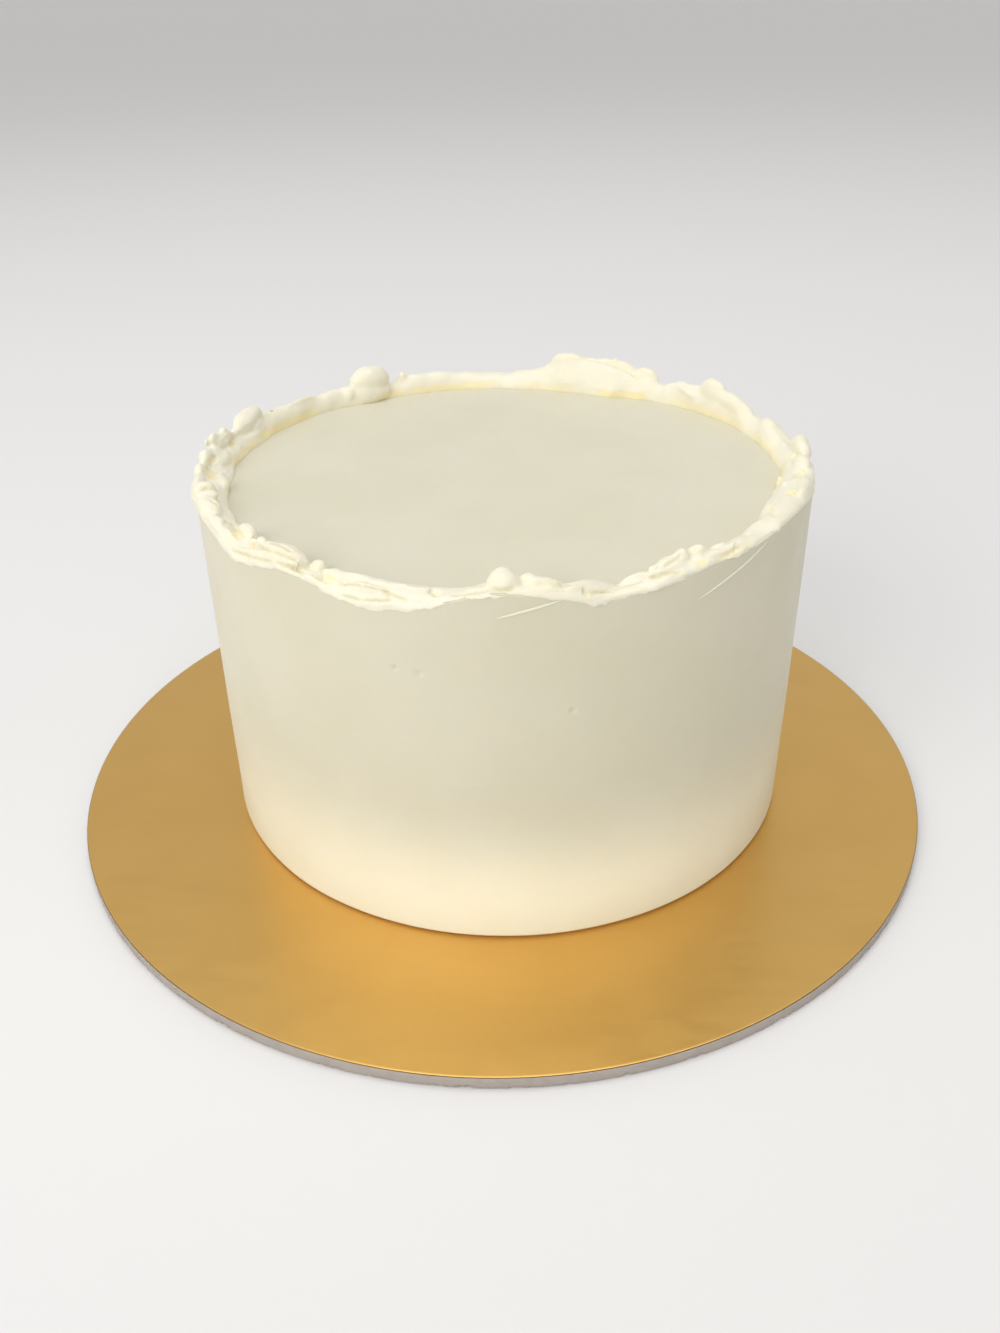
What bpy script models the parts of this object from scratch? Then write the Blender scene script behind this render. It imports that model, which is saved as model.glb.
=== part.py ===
"""A plain round cake iced with ivory buttercream, on its round gold-faced board.

Sizes are in millimetres and degrees, and are turned into metres where the meshes are made.
Angles run round the cake from +X (0) through the back at +Y (90), seen from above, so the
front is at 270. Heights of the icing are measured from the board's top face. The origin is
the middle of the board's underside.
"""
import random
from dataclasses import dataclass
from math import atan2, cos, degrees, hypot, radians, sin

import bmesh
import bpy
from mathutils import Vector, noise
from mathutils.bvhtree import BVHTree

MM = 0.001

# The vector noise takes its start from the clock unless it is given one
NOISE_START = 1795900936

# Board: a 12 inch hardboard disc, faced with gold foil
BOARD_RADIUS = 152.4
BOARD_THICKNESS = 4.1
FOIL_THICKNESS = 0.3
FOIL_INSET = 0.15
BOARD_BEVEL = 0.3
BOARD_SEGMENTS = 128
GAP = 0.3

# Cake: an 8 inch cake with straight sides, set slightly off the board's middle
CAKE_RADIUS = 99.94
CAKE_OFFSET = 2.46
TOP_HEIGHT = 114.5
BASE_ROUNDING = 1.6
CAKE_SEGMENTS = 228

# Rim: the ragged ridge left where the sides were scraped up past the top
CREST_RADIUS = 96.0
CREST_WANDER = 0.9
RIDGE_PROUD = 0.25
RIDGE_ROOT = 4.0
RIDGE_ROOT_TAPER = 2.5
LEAST_LIP = 1.0
RIDGE_STEPS = 240
RIDGE_SIDES = 20
CORE_RADIUS = 95.5
CORE_HEIGHT = 113.0
CAST_REACH = 24.0
RIM_ROWS = 15
RIM_FIRST_TURN = -50.0
RIM_LAST_TURN = 171.0

# Unevenness of the buttercream: a slow sway and a quicker one
SWAY_SIZE = 9.0
SWAY_REACH = 0.9
RUFFLE_SIZE = 3.6
RUFFLE_REACH = 0.35

# Height of the ridge's crest round the cake: angle, height
CREST = (
    (0, 120.4), (6, 117.6), (10, 119.4), (14, 120.8), (21, 119.8), (26, 121.2), (31, 122.8),
    (36, 123.8), (40, 123.2), (44, 122.2), (47, 122.0), (49.8, 119.8), (53, 122.2),
    (58, 123.2), (64, 125.6), (70, 126.6), (74, 127.0), (78, 124.0), (81, 121.2),
    (84, 120.2), (89, 119.0), (94, 119.5), (100, 120.5), (106, 121.4), (112, 121.0),
    (116.8, 118.9), (120, 119.4), (129, 120.2), (134, 120.6), (140, 120.5), (146, 121.2),
    (152, 120.6), (158, 119.8), (168, 119.2), (176, 119.4), (184, 118.4), (195, 118.8),
    (205, 118.2), (215, 117.4), (221, 116.8), (225, 118.4), (231, 119.0), (235, 116.4),
    (239, 115.4), (244, 116.8), (251, 117.4), (257, 117.0), (260, 116.8), (264, 117.8),
    (267, 119.0), (272, 119.0), (277, 118.2), (281, 118.0), (284, 117.6), (288.5, 115.8),
    (292, 117.2), (297, 119.0), (304, 120.0), (309, 119.4), (316, 119.4), (321, 120.8),
    (328, 121.4), (338, 121.6), (350, 121.0),
)

# Height at which the ragged band begins on the smooth side: angle, height
OUTER_TOE = (
    (0, 117.0), (40, 116.5), (90, 116.0), (140, 116.0), (180, 114.5), (197, 114.6),
    (206, 116.2), (211, 114.4), (218, 112.0), (223, 113.4), (227, 114.8), (231.5, 116.4),
    (236, 116.4), (239, 114.4), (243, 112.9), (249, 111.2), (254, 111.9), (258, 113.8),
    (261, 115.6), (266, 117.6), (268.5, 118.4), (271, 117.6), (273.5, 117.1), (277, 116.2),
    (281, 115.5), (283, 113.6), (287, 113.8), (290, 115.0), (296, 115.8), (300, 116.7),
    (304.5, 117.8), (313, 118.0), (318, 118.7), (326, 119.5), (333, 119.2), (345, 118.0),
)

# Radius at which the ridge meets the flat top: angle, radius
INNER_TOE = (
    (2, 90.6), (18, 91.5), (26, 92.5), (44, 92.6), (50, 91.8), (56, 90.0), (62, 87.5),
    (68, 87.2), (80, 89.2), (88, 90.0), (100, 91.6), (114, 91.6), (126, 91.0),
    (131, 92.2), (138, 92.8), (145, 91.6), (164, 90.8), (176, 91.0), (181, 89.8),
    (187, 90.0), (208, 90.8), (300, 90.0), (325, 89.4), (330, 87.8), (335, 86.8),
    (340, 87.4), (346, 89.2), (352, 90.3),
)


@dataclass(frozen=True)
class Fold:
    """One fold or dab of buttercream: an ellipsoid bent round the rim, in half sizes."""

    angle: float
    radius: float
    height: float
    length: float
    width: float
    depth: float
    tilt: float = 0.0
    rise: float = 0.0
    drift: float = 0.0


# The folds and dabs that stand out, named by where they lie
FOLDS = (
    # Right: two lumps with a notch behind them, then a low swell
    Fold(359, 97.8, 120.8, 7.5, 3.4, 3.9),
    Fold(350.5, 96.2, 119.6, 5.4, 3.2, 3.3),
    Fold(347.5, 99.1, 119.2, 1.4, 1.0, 1.3),
    Fold(15, 96.6, 118.8, 5.6, 3.0, 3.0),
    # Back right: a peak with a long slope, and a mound with a second ridge outside it
    Fold(35, 96.2, 122.6, 6.4, 3.3, 4.6),
    Fold(29, 96.4, 120.8, 12.0, 3.2, 3.5, rise=1.8),
    Fold(44.5, 96.6, 119.4, 5.5, 3.0, 3.3),
    Fold(54.5, 97.8, 121.2, 5.6, 2.4, 4.0),
    Fold(62.5, 98.2, 121.8, 10.5, 2.0, 4.8, rise=1.0),
    Fold(62.7, 98.0, 126.4, 1.3, 1.1, 1.5),
    Fold(73.2, 95.4, 122.8, 8.6, 3.8, 5.6),
    Fold(66, 93.8, 118.4, 17.0, 3.4, 4.2, rise=2.4),
    # Back left: a small peak, a round ball with a shoulder, and a long dab
    Fold(113.9, 96.0, 120.4, 1.8, 1.8, 2.3),
    Fold(122.6, 95.6, 121.4, 8.4, 5.6, 6.2),
    Fold(122.8, 94.0, 117.2, 8.6, 4.8, 4.6),
    Fold(128.7, 95.6, 118.0, 3.6, 4.0, 3.4),
    Fold(152.5, 97.4, 120.0, 4.0, 1.2, 1.4),
    Fold(155.8, 97.0, 122.0, 2.9, 2.4, 2.3),
    Fold(160.2, 96.8, 123.3, 8.2, 3.2, 2.1, tilt=22, rise=-1.0),
    Fold(158.5, 94.9, 119.4, 4.8, 2.2, 2.3),
    Fold(162, 96.4, 120.6, 7.6, 2.6, 2.4),
    Fold(160, 94.4, 117.2, 6.5, 2.8, 2.4),
    # Left: crags and a sliver, then smooth lumps that lean out past the side
    Fold(171.4, 97.2, 121.0, 7.0, 2.4, 3.3),
    Fold(167.8, 96.2, 121.0, 4.2, 1.3, 1.3, rise=2.2),
    Fold(169.8, 97.4, 122.3, 2.6, 1.8, 3.0),
    Fold(174.2, 98.1, 121.9, 3.6, 1.7, 3.9, tilt=8),
    Fold(176.2, 99.2, 123.8, 1.6, 0.8, 1.3),
    Fold(177.5, 96.4, 119.8, 4.4, 2.2, 2.7),
    Fold(178, 94.8, 117.8, 7.5, 3.2, 2.9),
    Fold(180, 98.0, 119.2, 7.0, 2.3, 3.8),
    Fold(186.5, 98.8, 119.5, 3.8, 2.1, 2.7),
    Fold(191, 98.9, 117.4, 9.0, 2.5, 3.9),
    Fold(189, 91.8, 116.2, 5.5, 2.2, 2.3),
    Fold(195.2, 97.0, 119.0, 3.0, 3.6, 2.9, drift=-1.0),
    Fold(200.2, 96.4, 119.8, 2.2, 3.5, 1.5, drift=-0.8),
    Fold(203.5, 97.2, 117.2, 10.5, 3.4, 3.9),
    Fold(211, 97.6, 116.6, 7.0, 2.6, 3.1, rise=-0.8),
    # Front left: an inner lump beside a crease, a curl and a mound in thin sheets
    Fold(216.2, 92.8, 116.8, 5.6, 2.4, 3.2, rise=0.6),
    Fold(221.2, 95.4, 117.8, 1.6, 1.2, 1.5),
    Fold(223.6, 94.2, 117.4, 3.0, 2.4, 3.1),
    Fold(219, 99.6, 113.8, 8.0, 0.9, 2.0, rise=-0.2),
    Fold(226, 98.4, 116.6, 12.0, 1.1, 1.9, rise=0.8),
    Fold(229.6, 95.4, 117.4, 8.8, 3.8, 4.2),
    Fold(230.8, 97.6, 118.8, 6.5, 1.3, 1.5, rise=-0.9),
    Fold(236.2, 92.6, 115.9, 3.0, 2.2, 2.5),
    Fold(240, 99.2, 115.1, 6.2, 0.9, 1.7, rise=-1.6),
    Fold(241, 95.4, 116.0, 4.4, 2.4, 2.7),
    # Front: ribbons drawn side by side above a broad flap, a thin crest, a dome and a slope
    Fold(250.5, 94.8, 116.2, 13.5, 1.9, 1.8, rise=-0.2),
    Fold(251.5, 96.9, 115.7, 8.5, 1.3, 1.2, rise=-0.4),
    Fold(247.6, 97.8, 115.1, 6.5, 1.2, 1.3, rise=-1.4),
    Fold(245.5, 98.9, 114.5, 6.5, 0.9, 1.2, rise=-1.0),
    Fold(250.5, 99.6, 113.3, 13.5, 0.7, 1.5, rise=0.5),
    Fold(256.4, 98.2, 115.6, 3.0, 1.4, 1.6),
    Fold(263.6, 96.2, 116.6, 6.5, 1.6, 1.6, rise=1.9),
    Fold(269.4, 94.6, 119.0, 4.8, 3.8, 4.3),
    Fold(273.4, 94.0, 119.2, 2.6, 2.1, 2.6),
    Fold(275.9, 95.4, 118.0, 5.2, 2.6, 3.2, rise=-1.6),
    Fold(278.3, 95.0, 117.6, 1.1, 1.0, 1.6),
    Fold(287.5, 99.3, 115.3, 10.0, 0.9, 1.2, rise=0.5),
    # Front right: a ragged mound with three peaks, and a low ridge above a long crease
    Fold(294.6, 95.8, 116.0, 6.5, 2.6, 2.5, rise=1.5),
    Fold(298.2, 95.0, 117.8, 6.0, 3.2, 3.4),
    Fold(299.7, 94.8, 118.9, 3.4, 2.2, 3.5),
    Fold(303, 95.0, 118.8, 4.2, 2.4, 3.7),
    Fold(302.9, 98.9, 118.3, 2.4, 1.1, 1.3),
    Fold(307.2, 95.0, 118.3, 3.2, 1.9, 2.9),
    Fold(306.5, 99.2, 117.9, 9.0, 0.9, 1.3, rise=0.9),
    Fold(311.5, 96.0, 117.2, 8.0, 2.4, 2.5),
    # Right: a broad smooth slope with small dabs round a deep hollow
    Fold(331, 93.6, 117.4, 12.0, 5.2, 3.4),
    Fold(337, 97.8, 120.0, 10.0, 2.2, 2.9),
    Fold(327.5, 93.4, 119.6, 2.4, 1.6, 1.5),
    Fold(340.5, 91.8, 118.2, 3.2, 1.8, 2.7),
)

# Small torn folds between them: how many, their seed, and how ragged the rim is by angle
SMALL_FOLDS = 26
SMALL_FOLD_SEED = 8
SMALL_LENGTH = (3.5, 10.0)
SMALL_WIDTH = (0.8, 1.6)
SMALL_DEPTH = (0.7, 1.3)
SMALL_TURN = (48.0, 165.0)
RAGGED = (
    (0, 0.35), (20, 0.15), (60, 0.2), (90, 0.05), (110, 0.05), (140, 0.05), (160, 0.2),
    (172, 0.7), (182, 0.5), (200, 0.35), (215, 0.9), (235, 1.0), (243, 0.6), (256, 0.6),
    (275, 0.6), (300, 1.0), (312, 0.6), (330, 0.2), (342, 0.5),
)


def clear_scene():
    """Remove what the scene starts with."""
    for thing in list(bpy.data.objects):
        bpy.data.objects.remove(thing, do_unlink=True)


def make_collection(name):
    """Return a new collection of that name, linked to the scene."""
    collection = bpy.data.collections.new(name)
    bpy.context.scene.collection.children.link(collection)
    return collection


def make_material(name, color, roughness, metallic=0.0):
    """Return a Principled BSDF material."""
    material = bpy.data.materials.new(name)
    material.use_nodes = True
    shader = material.node_tree.nodes["Principled BSDF"]
    shader.inputs["Base Color"].default_value = (*color, 1.0)
    shader.inputs["Roughness"].default_value = roughness
    shader.inputs["Metallic"].default_value = metallic
    return material


def add_object(name, mesh, collection, material=None):
    """Put a mesh into the scene as a named object."""
    thing = bpy.data.objects.new(name, mesh)
    if material:
        mesh.materials.append(material)
    collection.objects.link(thing)
    return thing


def between(stops, angle):
    """Read a value that changes smoothly between stops of (angle, value) round the rim."""
    angle %= 360.0
    for index, (start, low) in enumerate(stops):
        end, high = stops[(index + 1) % len(stops)]
        if end <= start:
            end += 360.0
        if start <= angle < end:
            share = (angle - start) / (end - start)
            share = share * share * (3.0 - 2.0 * share)
            return low + (high - low) * share
    return stops[-1][1]


def place(angle, radius, height):
    """Return the point at an angle, a radius and a height on the cake."""
    turn = radians(angle)
    x = CAKE_OFFSET + radius * cos(turn)
    y = radius * sin(turn)
    return Vector((x, y, BOARD_THICKNESS + height))


def crest_radius(angle):
    """Return the radius of the ridge's crest, which wanders in and out."""
    turn = radians(angle)
    return CREST_RADIUS + CREST_WANDER * noise.noise(Vector((3 * cos(turn), 3 * sin(turn), 0.0)))


def ridge_section(angle, turn):
    """Return radius and height on the ridge's section, turn 0 outwards and 90 up."""
    crest = between(CREST, angle)
    toe = min(between(OUTER_TOE, angle), crest - LEAST_LIP)
    middle = crest_radius(angle)
    outwards = cos(radians(turn))
    upwards = sin(radians(turn))
    if outwards > 0:
        radius = middle + (CAKE_RADIUS + RIDGE_PROUD - middle) * outwards ** 0.7
        radius -= RIDGE_ROOT_TAPER * max(-upwards, 0.0)
    else:
        radius = middle - (middle - between(INNER_TOE, angle)) * (-outwards) ** 1.1
        toe = TOP_HEIGHT - GAP
    if upwards > 0:
        return radius, toe + max(crest - toe, 0.0) * upwards
    return radius, toe + RIDGE_ROOT * upwards


def swayed(point):
    """Move a point of the rim by the buttercream's unevenness."""
    slow = noise.noise_vector(point / SWAY_SIZE)
    quick = noise.noise_vector(point / RUFFLE_SIZE)
    return point + slow * SWAY_REACH + quick * RUFFLE_REACH


def make_ridge():
    """Make the plain ridge as a ring whose section changes with the angle."""
    bpy.ops.mesh.primitive_torus_add(
        major_segments=RIDGE_STEPS, minor_segments=RIDGE_SIDES,
        major_radius=CREST_RADIUS, minor_radius=RIDGE_ROOT)
    ridge = bpy.context.object
    for vertex in ridge.data.vertices:
        x, y, z = vertex.co
        angle = degrees(atan2(y, x))
        turn = degrees(atan2(z, hypot(x, y) - CREST_RADIUS))
        vertex.co = place(angle, *ridge_section(angle, turn))
    return ridge


def make_fold(fold):
    """Make one fold from a sphere, drawn out along the rim and bent round it."""
    bpy.ops.mesh.primitive_uv_sphere_add(segments=16, ring_count=10, radius=1.0)
    thing = bpy.context.object
    tilt = radians(fold.tilt)
    for vertex in thing.data.vertices:
        across, upwards, along = vertex.co
        outwards = fold.width * across
        lifted = fold.depth * upwards
        radius = fold.radius + outwards * cos(tilt) - lifted * sin(tilt) + fold.drift * along
        height = fold.height + outwards * sin(tilt) + lifted * cos(tilt) + fold.rise * along
        angle = fold.angle + degrees(along * fold.length / fold.radius)
        vertex.co = place(angle, radius, height)
    return thing


def small_folds():
    """Return the small torn folds, drawn by seed and kept where the rim is ragged."""
    draw = random.Random(SMALL_FOLD_SEED)
    folds = []
    while len(folds) < SMALL_FOLDS:
        angle = draw.uniform(0.0, 360.0)
        chance = draw.random()
        turn = draw.uniform(*SMALL_TURN)
        length = draw.uniform(*SMALL_LENGTH)
        width = draw.uniform(*SMALL_WIDTH)
        depth = draw.uniform(*SMALL_DEPTH)
        rise = draw.uniform(-1.0, 1.0)
        drift = draw.uniform(-1.0, 1.0)
        if chance > between(RAGGED, angle):
            continue
        radius, height = ridge_section(angle, turn)
        tilt = turn - 90.0
        folds.append(Fold(angle, radius, height, length, width, depth, tilt, rise, drift))
    return folds


def make_rim_guide():
    """Join the ridge and all folds, and let the whole sway as one soft mass."""
    pieces = [make_ridge()]
    for fold in (*FOLDS, *small_folds()):
        pieces.append(make_fold(fold))
    bpy.ops.object.select_all(action="DESELECT")
    for piece in pieces:
        piece.select_set(True)
    bpy.context.view_layer.objects.active = pieces[0]
    bpy.ops.object.join()
    guide = bpy.context.object
    guide.name = "rim_guide"
    for vertex in guide.data.vertices:
        vertex.co = swayed(vertex.co)
    return guide


def rim_turn(row):
    """Return the turn of a rim row, from the side over the crest to the flat top."""
    return RIM_FIRST_TURN + (RIM_LAST_TURN - RIM_FIRST_TURN) * row / (RIM_ROWS - 1)


def plain_reach(turn):
    """Return how far the plain side or flat top lies from the rim's core at a turn."""
    outwards = cos(radians(turn))
    upwards = sin(radians(turn))
    reach = CAST_REACH
    if outwards > 0:
        reach = min(reach, (CAKE_RADIUS - CORE_RADIUS) / outwards)
    if upwards > 0:
        reach = min(reach, (TOP_HEIGHT - CORE_HEIGHT) / upwards)
    return reach


def cake_profile():
    """Return the cake's half section as (radius, height) from the top's middle down."""
    points = [(0.0, TOP_HEIGHT), (45.0, TOP_HEIGHT)]
    for row in reversed(range(RIM_ROWS)):
        turn = rim_turn(row)
        reach = plain_reach(turn)
        radius = CORE_RADIUS + reach * cos(radians(turn))
        height = CORE_HEIGHT + reach * sin(radians(turn))
        points.append((radius, height))
    points.append((CAKE_RADIUS, GAP + BASE_ROUNDING))
    points.append((CAKE_RADIUS - BASE_ROUNDING * 0.3, GAP + BASE_ROUNDING * 0.3))
    points.append((CAKE_RADIUS - BASE_ROUNDING, GAP))
    points.append((0.0, GAP))
    return points


def make_cake(collection, material):
    """Make the cake: a turned body whose rim is drawn out to the ridge and folds."""
    guide = make_rim_guide()
    surface = BVHTree.FromObject(guide, bpy.context.evaluated_depsgraph_get())
    profile = bpy.data.meshes.new("cake_profile")
    points = cake_profile()
    edges = [(index, index + 1) for index in range(len(points) - 1)]
    profile.from_pydata([(radius, 0.0, height) for radius, height in points], edges, [])
    turned = add_object("cake_turned", profile, collection)
    screw = turned.modifiers.new("Turn", "SCREW")
    screw.steps = CAKE_SEGMENTS
    screw.render_steps = CAKE_SEGMENTS
    screw.use_merge_vertices = True
    screw.merge_threshold = 0.0001
    evaluated = turned.evaluated_get(bpy.context.evaluated_depsgraph_get())
    mesh = bpy.data.meshes.new_from_object(evaluated)
    mesh.name = "cake"
    for vertex in mesh.vertices:
        vertex.co = rim_place(vertex.co, surface) * MM
    close(mesh)
    for helper in (guide, turned):
        bpy.data.objects.remove(helper, do_unlink=True)
    return add_object("cake", mesh, collection, material)


def rim_place(point, surface):
    """Return where a point of the turned body goes: rim points are cast on the folds."""
    radius = hypot(point.x, point.y)
    angle = degrees(atan2(point.y, point.x))
    out = radius - CORE_RADIUS
    up = point.z - CORE_HEIGHT
    turn = degrees(atan2(up, out))
    on_rim = RIM_FIRST_TURN - 0.5 < turn < RIM_LAST_TURN + 0.5 and point.z > GAP + BASE_ROUNDING
    if not on_rim or radius < CORE_RADIUS / 2:
        return place(angle, radius, point.z)
    core = place(angle, CORE_RADIUS, CORE_HEIGHT)
    outward = place(angle, CORE_RADIUS + out, CORE_HEIGHT + up) - core
    plain = outward.length
    outward.normalize()
    hit = surface.ray_cast(core + outward * CAST_REACH, -outward, CAST_REACH)
    reach = plain
    if hit[0] is not None:
        reach = max(reach, CAST_REACH - hit[3])
    return core + outward * reach


def close(mesh):
    """Merge doubled points and turn all faces outwards."""
    work = bmesh.new()
    work.from_mesh(mesh)
    bmesh.ops.remove_doubles(work, verts=work.verts, dist=0.00001)
    bmesh.ops.triangulate(work, faces=work.faces)
    bmesh.ops.recalc_face_normals(work, faces=work.faces)
    work.to_mesh(mesh)
    work.free()
    mesh.shade_smooth()
    mesh.set_sharp_from_angle(angle=radians(60.0))


def make_disc(name, radius, bottom, top, bevel, collection, material):
    """Make a flat round disc between two heights, with slightly rounded edges."""
    mesh = bpy.data.meshes.new(name)
    work = bmesh.new()
    bmesh.ops.create_cone(
        work, cap_ends=True, segments=BOARD_SEGMENTS,
        radius1=radius * MM, radius2=radius * MM, depth=(top - bottom) * MM)
    bmesh.ops.translate(work, verts=work.verts, vec=(0.0, 0.0, (top + bottom) / 2 * MM))
    work.to_mesh(mesh)
    work.free()
    mesh.shade_smooth()
    mesh.set_sharp_from_angle(angle=radians(40.0))
    disc = add_object(name, mesh, collection, material)
    if bevel:
        edge = disc.modifiers.new("Rounded edge", "BEVEL")
        edge.width = bevel * MM
        edge.segments = 1
        edge.limit_method = "ANGLE"
        edge.angle_limit = radians(60.0)
    return disc


def main():
    """Build the board's two layers and the cake on them."""
    clear_scene()
    noise.seed_set(NOISE_START)
    collection = make_collection("buttercream_cake")
    hardboard = make_material("white_hardboard", (0.55, 0.50, 0.44), 0.75)
    foil = make_material("gold_foil", (0.66, 0.42, 0.13), 0.32, 1.0)
    icing = make_material("ivory_buttercream", (0.86, 0.80, 0.62), 0.45)
    core_top = BOARD_THICKNESS - FOIL_THICKNESS - GAP
    foil_bottom = BOARD_THICKNESS - FOIL_THICKNESS
    make_disc("board_core", BOARD_RADIUS, 0.0, core_top, BOARD_BEVEL, collection, hardboard)
    make_disc("board_foil", BOARD_RADIUS - FOIL_INSET, foil_bottom, BOARD_THICKNESS, 0.0,
              collection, foil)
    make_cake(collection, icing)


main()
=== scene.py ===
"""Ivory buttercream cake on a gold-faced board, dressed for a plain studio picture.

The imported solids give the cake, the board's hardboard disc and its foil facing. This script
puts the buttercream over the cake as a smooth iced body and a torn rim, lays the foil with
its soft waves, and gives the hardboard its chipped lower edge.

Shapes are worked out in millimetres and degrees and turned into metres when a piece is
finished. Angles run round the cake from +X (0) through the back at +Y (90), seen from above,
so the front is at 270. Heights of the icing are measured from the board's top face.
"""
import logging
import math
import random
from dataclasses import dataclass
from enum import Enum
from typing import Callable, Sequence

import bpy
import numpy as np
from mathutils import Matrix, Vector, noise


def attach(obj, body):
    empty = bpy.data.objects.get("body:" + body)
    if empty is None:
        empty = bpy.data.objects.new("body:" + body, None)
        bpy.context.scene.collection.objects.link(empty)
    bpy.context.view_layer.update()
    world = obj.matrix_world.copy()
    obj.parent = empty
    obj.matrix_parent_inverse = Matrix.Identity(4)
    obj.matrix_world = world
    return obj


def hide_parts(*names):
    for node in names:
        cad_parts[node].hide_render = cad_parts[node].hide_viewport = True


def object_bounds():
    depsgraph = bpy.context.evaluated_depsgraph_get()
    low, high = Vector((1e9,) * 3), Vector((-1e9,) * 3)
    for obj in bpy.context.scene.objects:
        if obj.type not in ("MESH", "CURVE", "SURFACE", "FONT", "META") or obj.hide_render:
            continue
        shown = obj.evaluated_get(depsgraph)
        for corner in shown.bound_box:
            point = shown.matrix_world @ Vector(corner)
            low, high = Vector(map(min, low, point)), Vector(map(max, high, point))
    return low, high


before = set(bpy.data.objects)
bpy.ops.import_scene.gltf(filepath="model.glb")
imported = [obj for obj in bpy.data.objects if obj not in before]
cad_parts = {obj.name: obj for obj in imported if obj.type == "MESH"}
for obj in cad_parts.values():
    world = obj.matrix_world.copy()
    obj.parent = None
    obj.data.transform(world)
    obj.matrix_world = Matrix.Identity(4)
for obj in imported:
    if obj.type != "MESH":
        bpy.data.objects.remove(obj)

CAD_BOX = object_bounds()
MM = 0.001
LOG = logging.getLogger("cake")

# The vector noise takes its start from the clock unless it is given one
NOISE_START = 1795901619

Pair = tuple[float, float]
Triple = tuple[float, float, float]
Stops = Sequence[Pair]
Socket = bpy.types.NodeSocket


class Slot(Enum):
    """Names of the material slots."""

    BUTTERCREAM = "buttercream"
    FOIL = "gold_foil"
    HARDBOARD = "white_hardboard"


class Part(Enum):
    """The parts of a mesh that can be chosen, with the name of their list."""

    VERT = "vertices"
    EDGE = "edges"
    FACE = "polygons"


@dataclass(frozen=True)
class Fold:
    """One fold or dab of buttercream: an ellipsoid bent round the rim, in half sizes.

    Args:
        angle: Where its middle lies round the cake, in degrees.
        radius: Distance of its middle from the cake's axis.
        height: Height of its middle above the board.
        length: Half its length along the rim.
        width: Half its width across.
        depth: Half its thickness.
        tilt: Turn of its section, in degrees.
        rise: How much higher its far end lies than its middle.
        drift: How much further out its far end lies than its middle.
    """

    angle: float
    radius: float
    height: float
    length: float
    width: float
    depth: float
    tilt: float = 0.0
    rise: float = 0.0
    drift: float = 0.0


@dataclass(frozen=True)
class Crease:
    """A hollow between folds, pressed into the skin and painted with a yellow glow of light
    scattered in it, in half sizes.

    Args:
        angle: Where its middle lies round the cake, in degrees.
        radius: Distance of its middle from the cake's axis.
        height: Height of its middle above the board.
        length: Half its length along the rim.
        width: Half its width.
        depth: How deep it is pressed.
        painted_glow: How strongly the painted yellow glow of scattered light shows, from 0 to 1.
        rise: How much higher its far end lies than its middle.
        drift: How much further out its far end lies than its middle.
    """

    angle: float
    radius: float
    height: float
    length: float
    width: float
    depth: float
    painted_glow: float
    rise: float = 0.0
    drift: float = 0.0


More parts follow.
